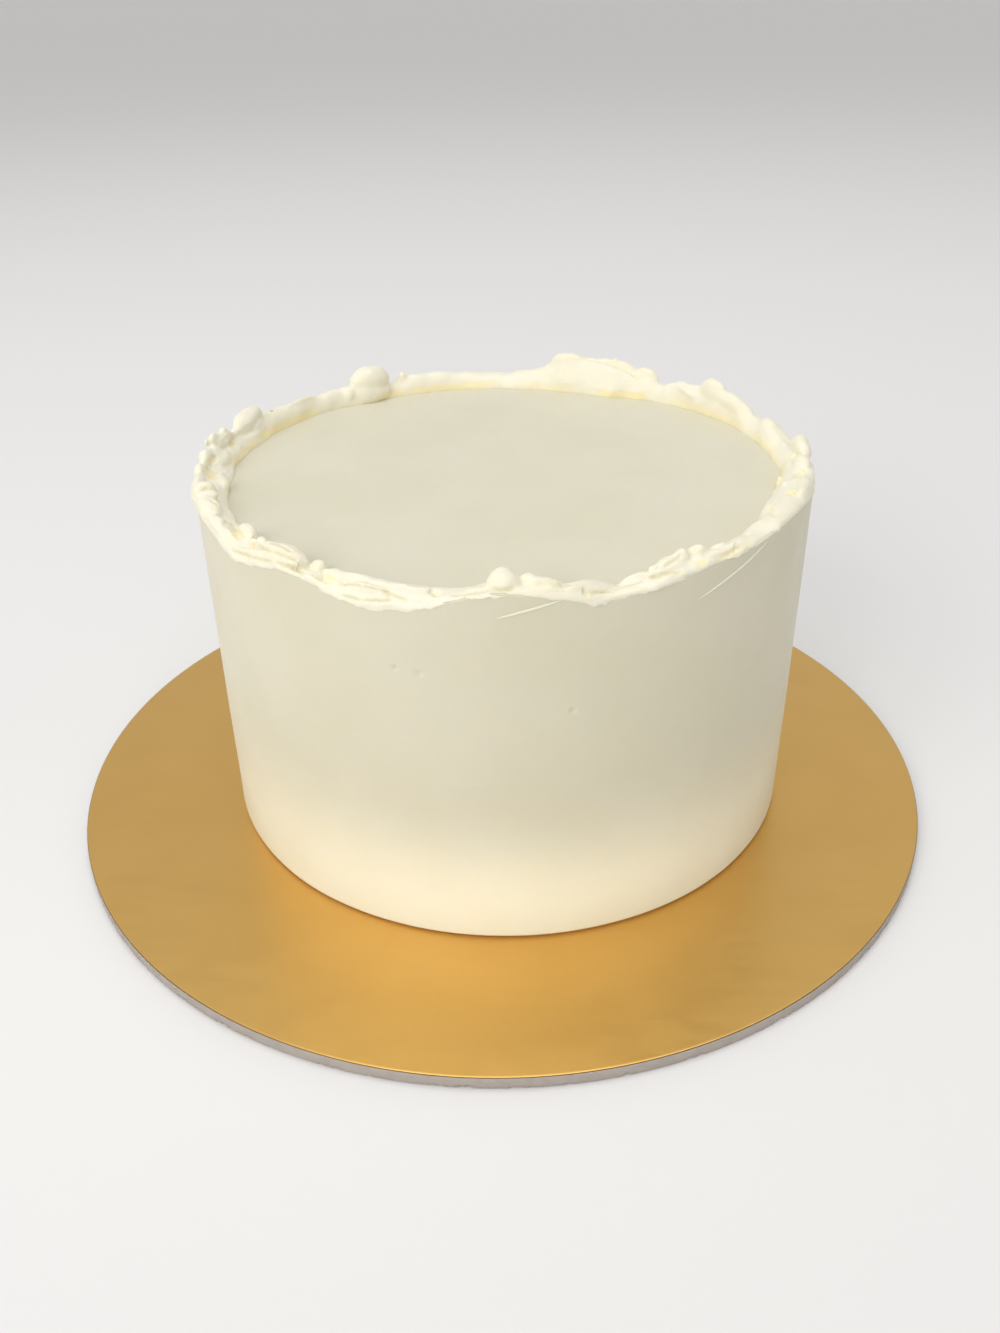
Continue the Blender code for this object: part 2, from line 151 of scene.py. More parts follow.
# The folds and dabs that stand out, named by where they lie
FOLDS = (
    # Right: two lumps with a notch behind them, then a low swell
    Fold(359, 97.8, 120.8, 7.5, 3.4, 3.9),
    Fold(350.5, 96.2, 119.6, 5.4, 3.2, 3.3),
    Fold(347.5, 99.1, 119.2, 1.4, 1.0, 1.3),
    Fold(15, 96.6, 118.8, 5.6, 3.0, 3.0),
    # Back right: a peak with a long slope, and a mound with a second ridge outside it
    Fold(35, 96.2, 122.6, 6.4, 3.3, 4.6),
    Fold(29, 96.4, 120.8, 12.0, 3.2, 3.5, rise=1.8),
    Fold(44.5, 96.6, 119.4, 5.5, 3.0, 3.3),
    Fold(54.5, 97.8, 121.2, 5.6, 2.4, 4.0),
    Fold(62.5, 98.2, 121.8, 10.5, 2.0, 4.8, rise=1.0),
    Fold(62.7, 98.0, 126.4, 1.3, 1.1, 1.5),
    Fold(73.2, 95.4, 122.8, 8.6, 3.8, 5.6),
    Fold(66, 93.8, 118.4, 17.0, 3.4, 4.2, rise=2.4),
    # Back left: a small peak, a round ball with a shoulder, and a long dab
    Fold(113.9, 96.0, 120.4, 1.8, 1.8, 2.3),
    Fold(122.6, 95.6, 121.4, 8.4, 5.6, 6.2),
    Fold(122.8, 94.0, 117.2, 8.6, 4.8, 4.6),
    Fold(128.7, 95.6, 118.0, 3.6, 4.0, 3.4),
    Fold(152.5, 97.4, 120.0, 4.0, 1.2, 1.4),
    Fold(155.8, 97.0, 122.0, 2.9, 2.4, 2.3),
    Fold(160.2, 96.8, 123.3, 8.2, 3.2, 2.1, tilt=22, rise=-1.0),
    Fold(158.5, 94.9, 119.4, 4.8, 2.2, 2.3),
    Fold(162, 96.4, 120.6, 7.6, 2.6, 2.4),
    Fold(160, 94.4, 117.2, 6.5, 2.8, 2.4),
    # Left: crags and a sliver, then smooth lumps that lean out past the side
    Fold(171.4, 97.2, 121.0, 7.0, 2.4, 3.3),
    Fold(167.8, 96.2, 121.0, 4.2, 1.3, 1.3, rise=2.2),
    Fold(169.8, 97.4, 122.3, 2.6, 1.8, 3.0),
    Fold(174.2, 98.1, 121.9, 3.6, 1.7, 3.9, tilt=8),
    Fold(176.2, 99.2, 123.8, 1.6, 0.8, 1.3),
    Fold(177.5, 96.4, 119.8, 4.4, 2.2, 2.7),
    Fold(178, 94.8, 117.8, 7.5, 3.2, 2.9),
    Fold(180, 98.0, 119.2, 7.0, 2.3, 3.8),
    Fold(186.5, 98.8, 119.5, 3.8, 2.1, 2.7),
    Fold(191, 98.9, 117.4, 9.0, 2.5, 3.9),
    Fold(189, 91.8, 116.2, 5.5, 2.2, 2.3),
    Fold(195.2, 97.0, 119.0, 3.0, 3.6, 2.9, drift=-1.0),
    Fold(200.2, 96.4, 119.8, 2.2, 3.5, 1.5, drift=-0.8),
    Fold(203.5, 97.2, 117.2, 10.5, 3.4, 3.9),
    Fold(211, 97.6, 116.6, 7.0, 2.6, 3.1, rise=-0.8),
    # Front left: an inner lump beside a crease, a curl and a mound in thin sheets
    Fold(216.2, 92.8, 116.8, 5.6, 2.4, 3.2, rise=0.6),
    Fold(221.2, 95.4, 117.8, 1.6, 1.2, 1.5),
    Fold(223.6, 94.2, 117.4, 3.0, 2.4, 3.1),
    Fold(219, 99.6, 113.8, 8.0, 0.9, 2.0, rise=-0.2),
    Fold(226, 98.4, 116.6, 12.0, 1.1, 1.9, rise=0.8),
    Fold(229.6, 95.4, 117.4, 8.8, 3.8, 4.2),
    Fold(230.8, 97.6, 118.8, 6.5, 1.3, 1.5, rise=-0.9),
    Fold(236.2, 92.6, 115.9, 3.0, 2.2, 2.5),
    Fold(240, 99.2, 115.1, 6.2, 0.9, 1.7, rise=-1.6),
    Fold(241, 95.4, 116.0, 4.4, 2.4, 2.7),
    # Front: ribbons drawn side by side above a broad flap, a thin crest, a dome and a slope
    Fold(250.5, 94.8, 116.2, 13.5, 1.9, 1.8, rise=-0.2),
    Fold(251.5, 96.9, 115.7, 8.5, 1.3, 1.2, rise=-0.4),
    Fold(247.6, 97.8, 115.1, 6.5, 1.2, 1.3, rise=-1.4),
    Fold(245.5, 98.9, 114.5, 6.5, 0.9, 1.2, rise=-1.0),
    Fold(250.5, 99.6, 113.3, 13.5, 0.7, 1.5, rise=0.5),
    Fold(256.4, 98.2, 115.6, 3.0, 1.4, 1.6),
    Fold(263.6, 96.2, 116.6, 6.5, 1.6, 1.6, rise=1.9),
    Fold(269.4, 94.6, 119.0, 4.8, 3.8, 4.3),
    Fold(273.4, 94.0, 119.2, 2.6, 2.1, 2.6),
    Fold(275.9, 95.4, 118.0, 5.2, 2.6, 3.2, rise=-1.6),
    Fold(278.3, 95.0, 117.6, 1.1, 1.0, 1.6),
    Fold(287.5, 99.3, 115.3, 10.0, 0.9, 1.2, rise=0.5),
    # Front right: a ragged mound with three peaks, and a low ridge above a long crease
    Fold(294.6, 95.8, 116.0, 6.5, 2.6, 2.5, rise=1.5),
    Fold(298.2, 95.0, 117.8, 6.0, 3.2, 3.4),
    Fold(299.7, 94.8, 118.9, 3.4, 2.2, 3.5),
    Fold(303, 95.0, 118.8, 4.2, 2.4, 3.7),
    Fold(302.9, 98.9, 118.3, 2.4, 1.1, 1.3),
    Fold(307.2, 95.0, 118.3, 3.2, 1.9, 2.9),
    Fold(306.5, 99.2, 117.9, 9.0, 0.9, 1.3, rise=0.9),
    Fold(311.5, 96.0, 117.2, 8.0, 2.4, 2.5),
    # Right: a broad smooth slope with small dabs round a deep hollow
    Fold(331, 93.6, 117.4, 12.0, 5.2, 3.4),
    Fold(337, 97.8, 120.0, 10.0, 2.2, 2.9),
    Fold(327.5, 93.4, 119.6, 2.4, 1.6, 1.5),
    Fold(340.5, 91.8, 118.2, 3.2, 1.8, 2.7),
)

# The creases and pockets, painted with a yellow glow of scattered light, and the painted yellow
# glow along the joint with the top
CREASES = (
    # Joint with the top, from the right round the back to the left
    Crease(350, 90.4, 115.4, 10.0, 1.8, 0.0, 0.9),
    Crease(8, 91.6, 115.4, 14.0, 1.5, 0.0, 0.6),
    Crease(33, 93.0, 115.4, 22.0, 1.5, 0.0, 0.6),
    Crease(58.5, 90.4, 115.2, 10.0, 1.6, 0.3, 1.0, drift=-2.4),
    Crease(78, 89.8, 115.4, 12.0, 1.3, 0.0, 0.5),
    Crease(103, 92.2, 115.6, 20.0, 1.5, 0.0, 0.8),
    Crease(119, 92.0, 115.8, 7.0, 1.8, 0.2, 0.8),
    Crease(150, 92.6, 115.4, 20.0, 1.8, 0.2, 1.0),
    Crease(170, 91.4, 115.6, 14.0, 1.5, 0.0, 0.8),
    # Back right: the groove between the two ridges
    Crease(61.5, 96.0, 121.6, 16.5, 0.8, 1.0, 0.3, rise=5.2),
    # Left and front left
    Crease(170.5, 96.4, 119.6, 2.2, 1.2, 1.2, 0.6),
    Crease(180.5, 96.6, 119.4, 2.6, 0.9, 0.72, 0.5),
    Crease(186, 95.6, 118.2, 5.0, 1.1, 0.96, 0.8, drift=-1.0),
    Crease(197, 95.4, 119.4, 3.0, 0.8, 0.6, 0.5, drift=-2.0),
    Crease(204, 96.0, 119.8, 2.6, 0.8, 0.6, 0.5, drift=-1.4),
    Crease(209, 97.6, 117.2, 6.0, 0.7, 0.54, 0.4),
    Crease(214, 94.3, 116.8, 6.4, 0.9, 1.2, 0.6, drift=1.0),
    Crease(220.6, 94.6, 117.2, 2.6, 0.8, 0.72, 0.51, drift=1.6),
    Crease(226.6, 97.4, 119.2, 5.4, 0.6, 0.48, 0.5, rise=1.0, drift=1.2),
    Crease(231.8, 97.8, 119.8, 4.0, 0.6, 0.48, 0.5, rise=-1.0, drift=-1.0),
    Crease(230, 96.2, 121.0, 5.0, 0.5, 0.36, 0.3),
    Crease(221, 99.4, 115.6, 5.8, 0.45, 0.4, 0.3, rise=0.7),
    Crease(227.3, 99.5, 117.1, 5.5, 0.45, 0.4, 0.4, rise=0.8),
    Crease(233, 98.4, 117.2, 4.4, 0.6, 0.42, 0.5, rise=-0.6, drift=-1.0),
    Crease(240.4, 98.2, 117.2, 3.0, 0.9, 0.42, 0.77),
    # Front: the lines between the ribbons, and two pockets
    Crease(244.9, 98.4, 117.1, 3.9, 0.5, 0.6, 0.4, rise=0.5, drift=0.8),
    Crease(248.8, 98.9, 117.4, 3.0, 0.5, 0.5, 0.4, rise=-0.3),
    Crease(252.7, 99.3, 116.5, 3.9, 0.5, 0.5, 0.4, rise=-0.7, drift=0.4),
    Crease(245.5, 100.2, 114.1, 3.3, 0.45, 0.4, 0.4, rise=-0.2),
    Crease(249.8, 100.0, 114.5, 4.5, 0.45, 0.45, 0.4, rise=0.5, drift=-0.3),
    Crease(251.2, 98.9, 116.4, 1.3, 0.6, 0.25, 0.77, rise=-1.0),
    Crease(255.7, 94.4, 117.4, 3.4, 0.6, 0.42, 0.5, rise=-0.6, drift=-0.8),
    Crease(258.7, 96.4, 116.0, 2.0, 1.2, 1.02, 0.4, rise=-0.5, drift=1.0),
    Crease(264.4, 97.7, 117.4, 5.6, 0.5, 0.48, 0.4, rise=1.4),
    Crease(269.2, 97.9, 119.0, 3.2, 0.6, 0.42, 0.4),
    Crease(271, 99.6, 118.0, 5.0, 0.5, 0.25, 0.3, rise=-0.6),
    Crease(276.6, 97.1, 119.0, 3.8, 0.7, 0.36, 0.3, rise=-0.8),
    Crease(281.6, 98.4, 116.8, 1.2, 0.9, 0.78, 0.45, rise=-1.0),
    Crease(284.3, 98.0, 116.1, 3.8, 0.6, 0.6, 0.5, rise=0.4),
    Crease(289, 97.0, 116.6, 4.8, 0.55, 0.54, 0.45, rise=0.2, drift=-0.6),
    # Front right and right
    Crease(295, 97.6, 117.5, 5.0, 0.6, 0.48, 0.5, rise=0.8, drift=1.2),
    Crease(297.3, 95.7, 120.4, 3.2, 0.6, 0.54, 0.4, rise=0.8, drift=-0.5),
    Crease(301.4, 95.2, 122.0, 2.2, 0.7, 0.54, 0.4),
    Crease(301.6, 99.2, 119.6, 1.8, 0.9, 0.25, 0.8),
    Crease(309, 99.0, 119.2, 8.2, 0.7, 0.25, 0.75, rise=-0.4, drift=-0.8),
    Crease(315, 94.6, 118.7, 2.6, 0.8, 0.54, 0.4),
    Crease(325.5, 93.4, 120.2, 4.6, 0.8, 0.54, 0.4, drift=-3.0),
    Crease(333.8, 94.7, 121.2, 2.8, 1.3, 2.4, 1.0),
    Crease(345.5, 95.4, 120.2, 3.6, 1.3, 1.2, 0.9, drift=1.0),
    Crease(355, 96.2, 119.0, 3.0, 1.2, 1.0, 0.6),
)

# Small brown crumbs caught in the rim: angle, radius, height and size
CRUMBS = (
    (151.0, 96.6, 120.6, 0.7), (238.2, 98.4, 117.4, 0.6), (281.8, 98.8, 115.4, 0.6),
    (158.8, 92.3, 115.2, 0.5),
)

# Thin raised streaks that the scraper left on the smooth side, running up to the rim
STREAKS = (
    Fold(309.0, 99.95, 113.6, 14.4, 0.35, 0.32, rise=4.6),
    Fold(273.0, 99.95, 114.05, 8.6, 0.35, 0.42, rise=2.3),
)


@dataclass(frozen=True)
class CakeSizes:
    """Sizes of the iced cake, the same as those of its solid."""

    board_thickness: float = 4.1
    radius: float = 99.94
    offset: float = 2.46
    top: float = 114.5
    base_rounding: float = 1.6
    foot: float = 0.05


@dataclass(frozen=True)
class BoardSizes:
    """Sizes of the round board."""

    radius: float = 152.4
    thickness: float = 4.1
    foil_thickness: float = 0.3
    foil_inset: float = 0.15


CAKE = CakeSizes()
BOARD = BoardSizes()

# The numbers that the buttercream's finish reads from a mesh: the painted crease glow, the painted
# shade lines and the crumbs
ATTRIBUTES = ("crease", "line", "crumb")

# Points of a closed form that lie nearer than this are one point, in millimetres
SAME_POINT = 0.0005

# Edges that turn by more than this stay sharp, in degrees
SHARP_TURN = 50.0


def between(stops: Stops, angles: np.ndarray) -> np.ndarray:
    """Read values that change smoothly between stops round the rim.

    Args:
        stops: Pairs of angle and value, in order of angle.
        angles: Where to read, in degrees.

    Returns:
        One value for each angle.
    """
    keys = np.array([angle for angle, _ in stops] + [stops[0][0] + 360.0])
    values = np.array([value for _, value in stops] + [stops[0][1]])
    turned = np.mod(np.asarray(angles, float), 360.0)
    turned = np.where(turned < keys[0], turned + 360.0, turned)
    index = np.clip(np.searchsorted(keys, turned, side="right") - 1, 0, len(keys) - 2)
    share = (turned - keys[index]) / (keys[index + 1] - keys[index])
    share = share * share * (3.0 - 2.0 * share)
    return values[index] + (values[index + 1] - values[index]) * share


def smooth_share(value: np.ndarray, low: float, high: float) -> np.ndarray:
    """Return 0 below low and 1 above high, with a smooth change between them."""
    share = np.clip((value - low) / (high - low), 0.0, 1.0)
    return share * share * (3.0 - 2.0 * share)


def place(angles: np.ndarray, radii: np.ndarray, heights: np.ndarray) -> np.ndarray:
    """Return the points at angles, radii and heights on the cake, in millimetres."""
    turns = np.radians(angles)
    x = CAKE.offset + radii * np.cos(turns)
    y = radii * np.sin(turns)
    return np.stack([x, y, CAKE.board_thickness + heights], axis=-1)


def locate(points: np.ndarray) -> tuple[np.ndarray, np.ndarray, np.ndarray]:
    """Return the angles, radii and heights on the cake of points in millimetres."""
    x = points[:, 0] - CAKE.offset
    y = points[:, 1]
    angles = np.degrees(np.arctan2(y, x))
    return angles, np.hypot(x, y), points[:, 2] - CAKE.board_thickness


def moved_outwards(points: np.ndarray, angles: np.ndarray, reach: np.ndarray) -> np.ndarray:
    """Return points moved away from the cake's axis, each by its own reach."""
    turns = np.radians(angles)
    moved = points.copy()
    moved[:, 0] += reach * np.cos(turns)
    moved[:, 1] += reach * np.sin(turns)
    return moved


def noise_at(points: np.ndarray) -> np.ndarray:
    """Return smooth noise between -1 and 1 at points."""
    return np.array([noise.noise(point) for point in points.tolist()])


def noise_vectors(points: np.ndarray) -> np.ndarray:
    """Return smooth noise vectors at points."""
    return np.array([tuple(noise.noise_vector(point)) for point in points.tolist()])


def read_points(thing: bpy.types.Object) -> np.ndarray:
    """Return an object's vertices as an array."""
    flat = np.zeros(len(thing.data.vertices) * 3)
    thing.data.vertices.foreach_get("co", flat)
    return flat.reshape(-1, 3)


def write_points(thing: bpy.types.Object, points: np.ndarray) -> None:
    """Move an object's vertices."""
    thing.data.vertices.foreach_set("co", np.ascontiguousarray(points, dtype=float).ravel())
    thing.data.update()


def read_normals(thing: bpy.types.Object) -> np.ndarray:
    """Return an object's vertex normals as an array."""
    flat = np.zeros(len(thing.data.vertices) * 3, dtype=np.float32)
    thing.data.vertex_normals.foreach_get("vector", flat)
    return flat.reshape(-1, 3).astype(float)


def read_edges(thing: bpy.types.Object) -> np.ndarray:
    """Return the pairs of vertices that an object's edges join."""
    flat = np.zeros(len(thing.data.edges) * 2, dtype=np.int32)
    thing.data.edges.foreach_get("vertices", flat)
    return flat.reshape(-1, 2)


def activate(thing: bpy.types.Object, also: Sequence[bpy.types.Object] = ()) -> None:
    """Select only the given objects, with the first of them active."""
    bpy.ops.object.select_all(action="DESELECT")
    for piece in (thing, *also):
        piece.select_set(True)
    bpy.context.view_layer.objects.active = thing


def apply_modifier(thing: bpy.types.Object, kind: str, **settings: object) -> None:
    """Add a modifier to an object and apply it.

    Args:
        thing: The object.
        kind: The modifier's type.
        settings: The modifier's properties and their values.
    """
    modifier = thing.modifiers.new(kind.title(), kind)
    for name, value in settings.items():
        setattr(modifier, name, value)
    activate(thing)
    bpy.ops.object.modifier_apply(modifier=modifier.name)


def edit_chosen(thing: bpy.types.Object, part: Part, chosen: np.ndarray,
                work: Callable[[], object]) -> None:
    """Do a piece of work in edit mode on chosen parts of an object.

    Args:
        thing: The object.
        part: Whether vertices, edges or faces are chosen.
        chosen: True for each part that the work is for.
        work: Runs the edit operator.
    """
    activate(thing)
    bpy.ops.object.mode_set(mode="EDIT")
    bpy.ops.mesh.select_mode(type=part.name)
    bpy.ops.mesh.select_all(action="DESELECT")
    bpy.ops.object.mode_set(mode="OBJECT")
    getattr(thing.data, part.value).foreach_set("select", chosen)
    bpy.ops.object.mode_set(mode="EDIT")
    work()
    bpy.ops.object.mode_set(mode="OBJECT")


def spread(edges: np.ndarray, values: np.ndarray, times: int) -> np.ndarray:
    """Return values averaged with those of the neighbouring vertices, several times."""
    count = len(values)
    wide = values.reshape(count, -1).copy()
    neighbours = np.bincount(edges.ravel(), minlength=count).astype(float)[:, None]
    for _ in range(times):
        total = np.zeros_like(wide)
        for column in range(wide.shape[1]):
            total[:, column] += np.bincount(edges[:, 0], wide[edges[:, 1], column], count)
            total[:, column] += np.bincount(edges[:, 1], wide[edges[:, 0], column], count)
        wide = 0.5 * wide + 0.5 * total / np.maximum(neighbours, 1.0)
    return wide.reshape(values.shape)


def set_attribute(thing: bpy.types.Object, name: str, values: np.ndarray) -> None:
    """Store one number for each vertex, for a material to read."""
    attribute = thing.data.attributes.new(name, "FLOAT", "POINT")
    attribute.data.foreach_set("value", values.astype(np.float32))


def clear_attributes(thing: bpy.types.Object) -> None:
    """Store that no vertex shows the painted crease glow, a painted shade line or a crumb."""
    for name in ATTRIBUTES:
        set_attribute(thing, name, np.zeros(len(thing.data.vertices)))


def finish_piece(thing: bpy.types.Object, name: str, material: bpy.types.Material,
                 nodes: Sequence[str]) -> bpy.types.Object:
    """Turn a piece in millimetres into a finished one in metres that rides on the cake.

    Args:
        thing: The modelled object.
        name: The piece's name.
        material: Its finish.
        nodes: The solids that it stands for.

    Returns:
        The finished object.
    """
    write_points(thing, read_points(thing) * MM)
    thing.name = name
    thing.data.name = name
    thing.data.materials.clear()
    thing.data.materials.append(material)
    activate(thing)
    bpy.ops.object.shade_smooth_by_angle(angle=math.radians(SHARP_TURN))
    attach(thing, "root")
    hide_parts(*nodes)
    LOG.info("%s: %d faces", name, len(thing.data.polygons))
    return thing


def wrapped_grid(columns: int, section: np.ndarray,
                 locate_point: Callable[[np.ndarray, np.ndarray], np.ndarray]) -> bpy.types.Object:
    """Wrap a grid round the axis into a closed turned form.

    Args:
        columns: How many columns run round the axis.
        section: Points of the half section as (radius, height), from the underside's middle
            out and up to the top's middle.
        locate_point: Turns angles and section points into places.

    Returns:
        The object, with its seam and poles merged.
    """
    rows = len(section) - 1
    bpy.ops.object.select_all(action="DESELECT")
    bpy.ops.mesh.primitive_grid_add(x_subdivisions=columns, y_subdivisions=rows, size=2.0)
    thing = bpy.context.object
    flat = read_points(thing)
    angles = (flat[:, 0] + 1.0) * 180.0
    index = np.clip(np.rint((flat[:, 1] + 1.0) * rows / 2.0).astype(int), 0, rows)
    write_points(thing, locate_point(angles, section[index]))
    bpy.ops.object.mode_set(mode="EDIT")
    bpy.ops.mesh.select_all(action="SELECT")
    bpy.ops.mesh.remove_doubles(threshold=SAME_POINT)
    bpy.ops.mesh.normals_make_consistent(inside=False)
    bpy.ops.object.mode_set(mode="OBJECT")
    return thing


class Nodes:
    """Builds a material's nodes with few words."""

    def __init__(self, name: str) -> None:
        """Start a material with one Principled BSDF."""
        self.material = bpy.data.materials.new(name)
        self.material.use_nodes = True
        self.tree = self.material.node_tree
        self.shader = self.tree.nodes["Principled BSDF"]
        self.place = self.tree.nodes.new("ShaderNodeTexCoord").outputs["Object"]

    def add(self, kind: str, **settings: object) -> bpy.types.Node:
        """Add a node and set its properties."""
        node = self.tree.nodes.new(kind)
        for name, value in settings.items():
            setattr(node, name, value)
        return node

    def link(self, source: Socket, target: Socket) -> None:
        """Join two sockets."""
        self.tree.links.new(source, target)

    def feed(self, source: Socket, name: str) -> None:
        """Join a socket to one of the shader's."""
        self.link(source, self.shader.inputs[name])

    def set(self, **values: object) -> None:
        """Set constants on the shader's own sockets; an underscore stands for a space."""
        for name, value in values.items():
            self.shader.inputs[name.replace("_", " ")].default_value = value

    def stretched(self, scale: Triple) -> Socket:
        """Return the object's coordinates multiplied by a scale."""
        mapping = self.add("ShaderNodeMapping")
        mapping.inputs["Scale"].default_value = scale
        self.link(self.place, mapping.inputs["Vector"])
        return mapping.outputs["Vector"]

    def noise(self, size: float, detail: float, place: Socket | None = None) -> Socket:
        """Return a noise whose features are about so many millimetres wide."""
        node = self.add("ShaderNodeTexNoise")
        node.inputs["Scale"].default_value = 1.0 / (size * MM)
        node.inputs["Detail"].default_value = detail
        node.inputs["Roughness"].default_value = 0.5
        self.link(place or self.place, node.inputs["Vector"])
        return node.outputs["Fac"]

    def attribute(self, name: str) -> Socket:
        """Return a number stored on the mesh."""
        return self.add("ShaderNodeAttribute", attribute_name=name).outputs["Fac"]

    def spread(self, value: Socket, low: float, high: float,
               out_low: float = 0.0, out_high: float = 1.0) -> Socket:
        """Map a range of values to another, held at its ends."""
        node = self.add("ShaderNodeMapRange", interpolation_type="SMOOTHSTEP")
        self.link(value, node.inputs["Value"])
        for name, number in (("From Min", low), ("From Max", high),
                             ("To Min", out_low), ("To Max", out_high)):
            node.inputs[name].default_value = number
        return node.outputs["Result"]

    def product(self, first: Socket, second: Socket) -> Socket:
        """Multiply two values."""
        node = self.add("ShaderNodeMath", operation="MULTIPLY")
        self.link(first, node.inputs[0])
        self.link(second, node.inputs[1])
        return node.outputs["Value"]

    def mix(self, share: Socket, first: Triple | Socket, second: Triple | Socket) -> Socket:
        """Mix two colours, each a tuple or a socket."""
        node = self.add("ShaderNodeMix", data_type="RGBA")
        self.link(share, node.inputs[0])
        for slot, color in ((6, first), (7, second)):
            if isinstance(color, tuple):
                node.inputs[slot].default_value = (*color, 1.0)
            else:
                self.link(color, node.inputs[slot])
        return node.outputs[2]

    def bump(self, height: Socket, depth: float, below: Socket | None = None) -> Socket:
        """Return a normal bumped by a height that reaches so many millimetres."""
        node = self.add("ShaderNodeBump")
        node.inputs["Strength"].default_value = 1.0
        node.inputs["Distance"].default_value = depth * MM
        self.link(height, node.inputs["Height"])
        if below is not None:
            self.link(below, node.inputs["Normal"])
        return node.outputs["Normal"]


@dataclass(frozen=True)
class Buttercream:
    """Ivory buttercream: soft, a little see-through, with a painted yellow glow of scattered light
    in its creases and painted shade along fine lines between folds.
    """

    name: str = "buttercream_smooth"
    ivory: Triple = (0.692, 0.656, 0.514)
    deep: Triple = (0.673, 0.637, 0.486)
    # Painted yellow glow of light scattered in the creases
    crease: Triple = (0.930, 0.805, 0.440)
    # Painted shade along the fine lines pressed between folds
    line: Triple = (0.600, 0.550, 0.385)
    crumb: Triple = (0.380, 0.250, 0.120)
    crumb_range: Pair = (0.2, 0.7)
    cloud_size: float = 38.0
    cloud_range: Pair = (0.35, 0.65)
    sheen_size: float = 11.0
    sheen_range: Pair = (0.3, 0.7)
    roughness: Pair = (0.40, 0.55)
    pore_size: float = 0.9
    pore_depth: float = 0.04
    drag_size: float = 5.0
    drag_stretch: Triple = (0.25, 0.25, 2.0)
    drag_depth: float = 0.10
    scatter: float = 0.30
    scatter_radius: Triple = (1.0, 0.72, 0.40)
    scatter_scale: float = 2.2
    refraction: float = 1.45
    gloss: float = 0.4

    def material(self) -> bpy.types.Material:
        """Return the finish, which reads the painted crease glow, the painted shade lines and the
        crumbs that a mesh stores.
        """
        nodes = Nodes(self.name)
        cloud = nodes.noise(self.cloud_size, 3.0)
        tone = nodes.mix(nodes.spread(cloud, *self.cloud_range), self.ivory, self.deep)
        # Mix in the painted yellow glow of scattered light in the creases, hollows and joint
        tone = nodes.mix(nodes.attribute("crease"), tone, self.crease)
        # Mix in the painted shade along the fine lines between folds
        tone = nodes.mix(nodes.attribute("line"), tone, self.line)
        crumbs = nodes.spread(nodes.attribute("crumb"), *self.crumb_range)
        nodes.feed(nodes.mix(crumbs, tone, self.crumb), "Base Color")
        sheen = nodes.noise(self.sheen_size, 4.0)
        nodes.feed(nodes.spread(sheen, *self.sheen_range, *self.roughness), "Roughness")
        pores = nodes.bump(nodes.noise(self.pore_size, 3.0), self.pore_depth)
        dragged = nodes.noise(self.drag_size, 3.0, nodes.stretched(self.drag_stretch))
        nodes.feed(nodes.bump(dragged, self.drag_depth, pores), "Normal")
        nodes.set(Subsurface_Weight=self.scatter, Subsurface_Radius=self.scatter_radius,
                  Subsurface_Scale=self.scatter_scale * MM, IOR=self.refraction,
                  Specular_IOR_Level=self.gloss)
        return nodes.material


@dataclass(frozen=True)
class GoldFoil:
    """Satin gold foil on card, with soft waves, faint wipe marks and painted shade along its
    turned-down edge.
    """

    gold: Triple = (0.765, 0.472, 0.146)
    dull: Triple = (0.740, 0.455, 0.139)
    # Painted shade along the foil's turned-down edge
    cut: Triple = (0.150, 0.085, 0.020)
    cloud_size: float = 30.0
    cloud_range: Pair = (0.35, 0.7)
    wipe_size: float = 6.0
    wipe_stretch: Triple = (0.4, 1.6, 1.0)
    wipe_range: Pair = (0.3, 0.7)
    roughness: Pair = (0.29, 0.34)
    grain_size: float = 0.5
    grain_depth: float = 0.004
    wave_size: float = 26.0
    wave_depth: float = 0.10

    def material(self) -> bpy.types.Material:
        """Return the finish of the board's facing."""
        nodes = Nodes("gold_foil")
        cloud = nodes.noise(self.cloud_size, 4.0)
        tone = nodes.mix(nodes.spread(cloud, *self.cloud_range), self.gold, self.dull)
        # Paint the shade along the turned-down edge
        nodes.feed(nodes.mix(nodes.attribute("cut"), tone, self.cut), "Base Color")
        wiped = nodes.noise(self.wipe_size, 5.0, nodes.stretched(self.wipe_stretch))
        nodes.feed(nodes.spread(wiped, *self.wipe_range, *self.roughness), "Roughness")
        grain = nodes.bump(nodes.noise(self.grain_size, 2.0), self.grain_depth)
        waves = nodes.noise(self.wave_size, 2.0)
        nodes.feed(nodes.bump(waves, self.wave_depth, grain), "Normal")
        nodes.set(Metallic=1.0)
        return nodes.material


@dataclass(frozen=True)
class PaintedHardboard:
    """White-painted hardboard, its torn lower edge showing brown fibres."""

    paint: Triple = (0.33, 0.29, 0.255)
    worn: Triple = (0.305, 0.267, 0.235)
    fibre: Triple = (0.26, 0.20, 0.15)
    scuff_size: float = 4.0
    scuff_range: Pair = (0.40, 0.65)
    fray_size: float = 1.6
    fray_range: Pair = (0.40, 0.6)
    fibre_size: float = 0.6
    fibre_stretch: Triple = (0.5, 0.5, 3.0)
    fibre_depth: float = 0.06
    roughness: float = 0.72

    def material(self) -> bpy.types.Material:
        """Return the finish of the board's edge and underside."""
        nodes = Nodes("white_hardboard")
        scuffs = nodes.spread(nodes.noise(self.scuff_size, 4.0), *self.scuff_range)
        tone = nodes.mix(scuffs, self.paint, self.worn)
        torn = nodes.spread(nodes.noise(self.fray_size, 3.0), *self.fray_range)
        frayed = nodes.product(nodes.attribute("frayed"), torn)
        nodes.feed(nodes.mix(frayed, tone, self.fibre), "Base Color")
        fibres = nodes.noise(self.fibre_size, 4.0, nodes.stretched(self.fibre_stretch))
        nodes.feed(nodes.bump(fibres, self.fibre_depth), "Normal")
        nodes.set(Roughness=self.roughness)
        return nodes.material


